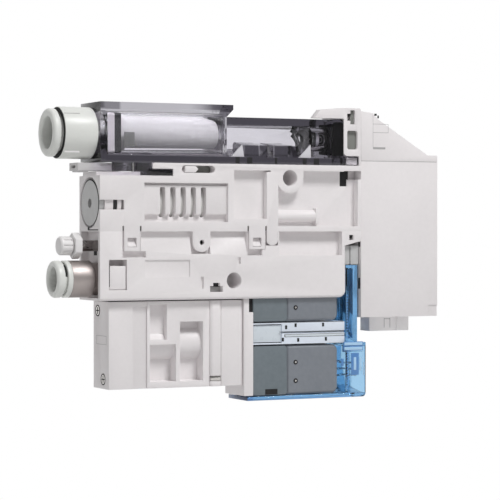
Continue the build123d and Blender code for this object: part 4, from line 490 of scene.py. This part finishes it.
# flat trims, and sheets on the floors of deep openings and along edges that paint their shade;
# edges and the blocks' low and high corners in mm
stripMark = {"wide": 0.32, "high": 0.52, "places": (
    (56.4, -27.5), (59.4, -26.95), (68.1, -26.95), (55.4, -30.9), (60.2, -31.1), (69.0, -31.0))}
teeth = {"count": 34, "pitch": 0.8, "high": 0.4, "foot": -45.5}  # serrated edge in the blue cover
trims = {
    "strip_panel": {"tone": "brightStrip", "slot": "pale_strip", "edge": 0.03, "blocks": [
        ((46.45, -13.3, -31.55), (54.95, -13.15, -26.85)),
        ((56.1, -13.76, -30.15), (74.9, -13.6, -29.55))]},
    # black lines that paint the shade along the edges of the strip's recess and slot
    "strip_lines": {"tone": "deepShade", "slot": "rubber", "edge": 0.02, "blocks": [
        ((46.4, -13.32, -26.8), (55.0, -13.2, -26.62)),
        ((46.4, -13.32, -31.78), (55.0, -13.2, -31.6)),
        ((55.9, -13.74, -30.25), (75.0, -13.6, -29.45)),
        ((54.4, -13.74, -28.9), (75.0, -13.6, -28.75)),
        ((46.25, -13.74, -26.2), (75.0, -13.6, -26.1)),
        ((46.25, -13.74, -32.28), (75.0, -13.6, -32.18))]},
    "strip_marks": {"tone": "deepShade", "slot": "rubber", "edge": 0.04, "blocks": [
        ((x - stripMark["wide"], -13.78, z - stripMark["high"]),
         (x + stripMark["wide"], -13.6, z + stripMark["high"])) for x, z in stripMark["places"]]},
    "coil_plate": {"tone": "deepShade", "slot": "rubber", "edge": 0.04, "blocks": [
        ((49.9, -13.78, -46.1), (53.7, -13.6, -44.6))]},
    # black sheets that paint the shade in deep openings, slits and the notch
    "open_floors": {"tone": "deepShade", "slot": "rubber", "edge": 0.02, "blocks": [
        ((75.8, -14.3, -2.6), (77.5, -14.2, -1.3)),
        ((73.9, -12.0, 11.9), (77.0, -11.9, 16.6)),
        ((44.95, -13.2, -23.0), (46.15, -13.1, -19.4)),
        ((3.45, -12.9, -19.62), (9.8, -12.0, -19.34)),
        ((2.72, -14.6, -15.6), (3.0, -14.5, -9.9)),
        ((33.3, -14.0, -15.75), (35.4, -13.9, -14.75)),
        ((32.6, -13.35, -15.9), (36.1, -13.2, -15.7)),
        ((43.82, -14.5, -0.5), (44.28, -14.4, 1.0)), ((49.32, -14.5, -0.5), (49.78, -14.4, 1.0)),
        ((6.52, -14.5, -0.5), (6.98, -14.4, 1.0)), ((11.62, -14.5, -0.5), (12.08, -14.4, 1.0)),
        ((75.4, -14.1, 31.8), (76.7, -14.0, 33.0))]},
    # grey sheets that paint the shade on the floors of windows
    "window_floors": {"tone": "recessShade", "slot": "rubber", "edge": 0.02, "blocks": [
        ((29.0, -12.1, 15.35), (33.85, -11.98, 17.25)),
        ((75.7, -14.0, 22.4), (79.1, -13.9, 28.1)),
        ((76.5, -14.1, 29.6), (78.3, -14.0, 33.7))]},
    "end_outline": {"tone": "softShade", "slot": "grey_plastic", "edge": 0.01, "blocks": [
        ((3.27, -11.3, -29.0), (3.32, -4.1, -28.9)), ((3.27, -11.3, -31.3), (3.32, -4.1, -31.2)),
        ((3.27, -11.3, -31.3), (3.32, -11.2, -28.9)), ((3.27, -4.2, -31.3), (3.32, -4.1, -28.9))]},
    "left_seam": {"tone": "deepShade", "slot": "rubber", "edge": 0.02, "blocks": [
        ((-0.03, -13.7, -0.4), (0.03, -6.4, -0.12)), ((-0.03, -7.4, -0.3), (0.03, -6.2, 0.45)),
        ((-0.05, -12.8, -7.1), (0.03, -10.6, -6.0))]},
    "switch_seams": {"tone": "softShade", "slot": "grey_plastic", "edge": 0.01, "blocks": [
        ((79.8, -14.83, 19.24), (104.6, -14.75, 19.36)),
        ((83.55, -14.83, 23.0), (83.63, -14.75, 33.0)),
        ((83.6, -14.83, 27.4), (88.6, -14.75, 27.5)),
        ((83.6, -14.83, 29.8), (88.6, -14.75, 29.9)), ((88.5, -14.83, 27.4), (88.6, -14.75, 29.9)),
        # this block is a painted shadow on the head of the switch
        ((83.6, -14.83, 22.7), (87.6, -14.75, 23.3)),
        ((89.8, -10.23, -28.4), (89.95, -10.15, -25.6)),
        ((91.7, -10.23, -28.4), (91.85, -10.15, -25.6)),
        ((89.8, -10.23, -25.95), (91.85, -10.15, -25.8))]},
    "switch_slots": {"tone": "deepShade", "slot": "rubber", "edge": 0.03, "blocks": [
        # the first two blocks are black sheets that paint the shade in two slots at the left edge
        # of the switch case
        ((79.66, -14.3, -5.1), (79.72, -13.2, -3.7)),
        ((79.66, -14.3, -17.0), (79.72, -13.2, -13.9)),
        ((84.0, -14.84, 32.2), (84.8, -14.75, 32.8)),
        ((85.0, -14.84, 31.5), (85.5, -14.75, 32.3))]},
    "plate_patches": {"tone": "deepShade", "slot": "rubber", "edge": 0.03, "blocks": [
        ((low, -14.93, 18.0), (high, -14.86, 19.8))
        for low, high in ((40.2, 41.4), (43.7, 45.3), (52.3, 53.0), (61.0, 62.2), (64.5, 66.2))]},
    # grey lines near the top and bottom of the vacuum port body and a white line under the lower
    # one: painted shade and a painted highlight of two raised ribs along it
    "port_marks": {"tone": "softShade", "slot": "grey_plastic", "edge": 0.02, "blocks": [
        ((-9.2, -12.46, 30.7), (-4.7, -12.2, 30.9)), ((-9.0, -12.47, 20.95), (-4.8, -12.2, 21.1))]},
    "port_bright_mark": {"tone": "paintedLightWhite", "slot": "white_plastic", "edge": 0.02,
                         "blocks": [((-9.0, -12.44, 20.4), (-4.8, -12.0, 20.9))]},
    "duct_end_shade": {"tone": "deepShade", "slot": "rubber", "edge": 0.3, "blocks": [
        ((71.3, -13.2, 20.6), (74.3, -2.4, 29.6))]},
    # a grey sheet that paints the shade in the window of the case
    "case_window": {"tone": "recessShade", "slot": "grey_plastic", "edge": 0.03, "blocks": [
        ((7.4, -13.88, 22.0), (10.4, -13.76, 26.0))]},
    # a white sheet inside the clear foot, painted light that makes the foot read lighter
    "foot_pad": {"tone": "white_plastic", "slot": "white_plastic", "edge": 0.1, "blocks": [
        ((75.2, -13.9, 18.25), (78.7, -13.7, 20.15))]},
    "cover_frames": {"tone": "deepBlue", "slot": "blue_plastic", "edge": 0.03, "blocks": [
        ((74.4, -14.33, -33.15), (80.55, -14.2, -31.95)),
        ((74.4, -14.33, -34.5), (80.55, -14.2, -33.25)),
        ((76.8, -14.33, -41.4), (79.3, -14.2, -35.2)),
        ((73.6, -14.33, -38.8), (74.4, -14.2, -36.7))] + [
        ((75.35, -14.33, teeth["foot"] + teeth["pitch"] * step),
         (75.75, -14.2, teeth["foot"] + teeth["high"] + teeth["pitch"] * step))
        for step in range(teeth["count"])]},
    "cover_ribs": {"tone": "iceBlue", "slot": "blue_plastic", "edge": 0.03, "blocks": [
        ((74.6, -14.42, -32.95), (80.35, -14.3, -32.15)),
        ((74.6, -14.42, -34.3), (80.35, -14.3, -33.45)),
        ((77.6, -14.42, -40.0), (78.4, -14.3, -36.4)),
        ((79.6, -14.35, -40.2), (80.15, -14.2, -36.6)),
        ((80.75, -14.35, -41.5), (81.15, -14.2, -37.75))]},
    "pin_hole_floor": {"tone": "softShade", "slot": "grey_plastic", "edge": 0.1, "blocks": [
        ((32.35, -13.3, -17.3), (36.35, -12.3, -15.6))]},
}
for name, trim in trims.items():
    form = bmesh.new()
    for low, high in trim["blocks"]:
        addSlab(form, low, high, trim["edge"])
    addPiece(name, closed(form), "unit", trim["slot"], paints[trim["tone"]])
print("trims made:", len(trims))

outward = Vector((0, -1, 0))
leftward = Vector((-1, 0, 0))


def ringProfile(back, front, inner, outer):
    # square section of a flat ring
    return (back, inner), (front, inner), (front, outer), (back, outer)


# black rings that paint the shade round the rivets and the end screws' heads, a black disc that
# paints the shade at the floor of the hole in the tab, and black crosses that paint the shade in
# the screws' cross slots
rivets = {"x": 59.4, "heights": (-22.0, -37.3, -42.5), "inner": 0.27, "outer": 0.66, "rise": 0.17,
          "face": -13.7, "back": -0.05, "inside": 0.1, "slope": 0.1, "edge": 0.04, "foot": 0.15}
tabHole = {"centre": (30.0, -13.6, -3.7), "radius": 0.69, "thickness": 0.1}
screws = {"x": 3.3, "places": ((-5.0, -22.2), (-8.9, -40.7)), "inner": 1.3, "outer": 1.56,
          "slot": 1.9, "slotWidth": 0.34, "back": -0.05, "front": 0.04, "lying": 0.05,
          "standing": 0.06, "edge": 0.03}
form = bmesh.new()
for z in rivets["heights"]:
    addRing(form, place(rivets["x"], rivets["face"], z), outward,
            ((rivets["inside"], rivets["inner"]), (rivets["rise"], rivets["inner"]),
             (rivets["rise"], rivets["outer"] - rivets["slope"]), (rivets["edge"], rivets["outer"]),
             (rivets["back"], rivets["outer"]), (rivets["back"], rivets["outer"] - rivets["foot"])))
addDisc(form, place(*tabHole["centre"]), outward, tabHole["radius"], tabHole["thickness"])
for y, z in screws["places"]:
    addRing(form, place(screws["x"], y, z), leftward,
            ringProfile(screws["back"], screws["front"], screws["inner"], screws["outer"]))
    half, thin = screws["slot"] / 2, screws["slotWidth"] / 2
    back = screws["x"] - screws["back"]
    for proud, wide, high in ((screws["lying"], half, thin), (screws["standing"], thin, half)):
        addSlab(form, (screws["x"] - proud, y - wide, z - high), (back, y + wide, z + high),
                screws["edge"])
addPiece("painted_shade_rings", closed(form), "unit", "rubber", paints["deepShade"])

# disc and rings of the check valve at their place in the photograph, inside the clear end block
checkRings = {"discCentre": (70.6, -7.5, 25.2), "disc": 3.9, "thickness": 0.3,
              "ringCentre": (70.4, -7.5, 25.2), "back": -0.1, "front": 0.08,
              "bright": ((1.2, 1.5), (2.5, 2.8))}
form = bmesh.new()
addDisc(form, place(*checkRings["discCentre"]), leftward, checkRings["disc"],
        checkRings["thickness"])
addPiece("check_disc_seat", closed(form), "unit", "rubber", paints["deepShade"])
form = bmesh.new()
for inner, outer in checkRings["bright"]:
    addRing(form, place(*checkRings["ringCentre"]), leftward,
            ringProfile(checkRings["back"], checkRings["front"], inner, outer))
addPiece("check_disc_rings", closed(form), "unit", "grey_plastic", paints["softShade"])

# a black ring that paints the shade in the gap behind the flange of the vacuum release ring
portGap = {"centre": (-9.5, -7.5, 25.8), "inner": 5.7, "outer": 6.85, "back": -0.05,
           "front": 0.06, "steps": 48}
form = bmesh.new()
addRing(form, place(*portGap["centre"]), leftward,
        ringProfile(portGap["back"], portGap["front"], portGap["inner"], portGap["outer"]),
        portGap["steps"])
addPiece("port_gap_shade", closed(form), "unit", "rubber", paints["deepShade"])

# a black ring paints the shade in the gap round the end plug; the plug's face is drawn off centre
# in its bore, so that this painted shade shows as a crescent at its upper front side
plug = {"gapCentre": (0.2, -7.5, 7.1), "inner": 5.7, "outer": 6.38, "gapFront": 0.05,
        "faceCentre": (0.2, -7.36, 6.96), "hole": 1.25, "face": 6.15, "faceFront": 0.12,
        "edge": 0.08, "edgeFront": 0.06, "back": -0.04, "steps": 64}
form = bmesh.new()
addRing(form, place(*plug["gapCentre"]), leftward,
        ringProfile(plug["back"], plug["gapFront"], plug["inner"], plug["outer"]), plug["steps"])
addPiece("plug_gap_shade", closed(form), "unit", "rubber", paints["deepShade"])
form = bmesh.new()
addRing(form, place(*plug["faceCentre"]), leftward,
        ((plug["back"], plug["hole"]), (plug["faceFront"], plug["hole"]),
         (plug["faceFront"], plug["face"] - plug["edge"]), (plug["edgeFront"], plug["face"]),
         (plug["back"], plug["face"])), plug["steps"])
addPiece("plug_face", closed(form), "unit", "grey_plastic")

# pale triangles that paint the highlight on the slanted faces of the two end hooks in the row at
# the foot of the duct, corners as (x, z)
hooks = {"front": -14.35, "depth": 0.5, "corners": (
    ((39.2, 19.85), (43.05, 19.85), (42.5, 23.3)),
    ((60.1, 19.85), (63.9, 19.85), (63.8, 23.6)))}
form = bmesh.new()
for corners in hooks["corners"]:
    side = form.faces.new([form.verts.new(place(x, hooks["front"], z)) for x, z in corners])
    grown = bmesh.ops.extrude_face_region(form, geom=[side])["geom"]
    bmesh.ops.translate(form, vec=(0, hooks["depth"] * mm, 0),
                        verts=[part for part in grown if isinstance(part, bmesh.types.BMVert)])
addPiece("duct_hook_highlights", closed(form), "unit", "smoked_plastic", paints["paleSiliconeAndHighlight"])

# black arc that paints the shade of the notch on the neck of the supply release ring: a section as
# (x, radius), spun from one angle over the front to another
notch = {"y": -7.5, "z": -13.5, "from": 10, "to": 65, "steps": 8,
         "section": ((-8.68, 4.2), (-7.98, 4.2), (-7.98, 4.32), (-8.68, 4.32))}
form = bmesh.new()
centre = place(0, notch["y"], notch["z"])
start = form.faces.new([form.verts.new(place(x, notch["y"] - radius, notch["z"]))
                        for x, radius in notch["section"]])
bmesh.ops.rotate(form, cent=centre, verts=form.verts,
                 matrix=Matrix.Rotation(math.radians(notch["from"]), 3, leftward))
bmesh.ops.spin(form, geom=[start], cent=centre, axis=leftward, steps=notch["steps"],
               angle=math.radians(notch["to"] - notch["from"]))
addPiece("release_notch_shade", closed(form), "supply_release", "rubber", paints["deepShade"])
print("rings made")

for name, node in frame["nodes"].items():
    node.data.materials.clear()
    node.data.materials.append(paints[ownTone.get(name, slotOf[name])])


# floor under the object, in metres; it fades to the white backdrop between two distances
ground = {"drop": 0.12, "reach": 3.0, "tone": (0.86, 0.86, 0.86), "rough": 0.9,
          "fadeFrom": 0.16, "fadeTo": 0.30}


def seenRays(direct):
    # 1 for camera rays, reflections and rays through clear parts; direct is the camera rays alone
    paths = direct.socket.node.outputs
    return direct.larger(Wire(paths["Is Glossy Ray"])).larger(Wire(paths["Is Transmission Ray"]))


def makeFloor():
    form = bmesh.new()
    bmesh.ops.create_grid(form, x_segments=1, y_segments=1, size=ground["reach"],
                          matrix=Matrix.Translation((0, 0, -ground["drop"])))
    mesh = bpy.data.meshes.new("floor")
    form.to_mesh(mesh)
    form.free()
    floor = bpy.data.objects.new("floor", mesh)
    bpy.context.scene.collection.objects.link(floor)
    paint, shader, spot = newPaint("floorPaint")
    feed(shader, Base_Color=(*ground["tone"], 1), Roughness=ground["rough"])
    reach = spot.node("ShaderNodeVectorMath", {"operation": "LENGTH"}, {0: spot}, "Value")
    direct = spot.node("ShaderNodeLightPath", None, None, "Is Camera Ray")
    mixIn(paint, shader, spot.node("ShaderNodeEmission"),
          reach.span(ground["fadeFrom"], ground["fadeTo"]) * seenRays(direct))
    mesh.materials.append(paint)


# light of the room; in reflections its front is darker than the backdrop behind the object
room = {"ambient": 0.36, "frontGloss": 0.25, "front": -0.3, "back": 0.2}


def makeWorld():
    world = bpy.data.worlds.new("studio")
    bpy.context.scene.world = world
    world.use_nodes = True
    tree = world.node_tree
    tree.nodes.clear()
    output = tree.nodes.new("ShaderNodeOutputWorld")
    direct = Wire(tree.nodes.new("ShaderNodeLightPath").outputs["Is Camera Ray"])
    aim = direct.node("ShaderNodeTexCoord", None, None, "Generated")
    depth = direct.node("ShaderNodeSeparateXYZ", None, {"Vector": aim}, "Y")
    gloss = direct.larger(depth.span(room["front"], room["back"], room["frontGloss"], 1.0))
    level = seenRays(direct) * (gloss - room["ambient"]) + room["ambient"]
    feed(output, Surface=direct.node("ShaderNodeBackground", None,
                                     {"Color": (1, 1, 1, 1), "Strength": level}))


# two square panels aimed at the object, in metres and watts
lamps = {"keyPanel": {"spot": (0.14, -0.54, 0.76), "size": 0.24, "power": 5.75},
         "fillPanel": {"spot": (-0.9, -0.25, 0.15), "size": 0.5, "power": 0.25}}


def makeLamps():
    for name, panel in lamps.items():
        lamp = bpy.data.lights.new(name, "AREA")
        lamp.shape = "SQUARE"
        lamp.size = panel["size"]
        lamp.energy = panel["power"]
        holder = bpy.data.objects.new(name, lamp)
        bpy.context.scene.collection.objects.link(holder)
        holder.location = panel["spot"]
        holder.rotation_mode = "QUATERNION"
        holder.rotation_quaternion = (-Vector(panel["spot"])).to_track_quat("-Z", "Y")


makeFloor()
makeWorld()
makeLamps()
bpy.context.scene.view_settings.view_transform = "Standard"
print("studio made")
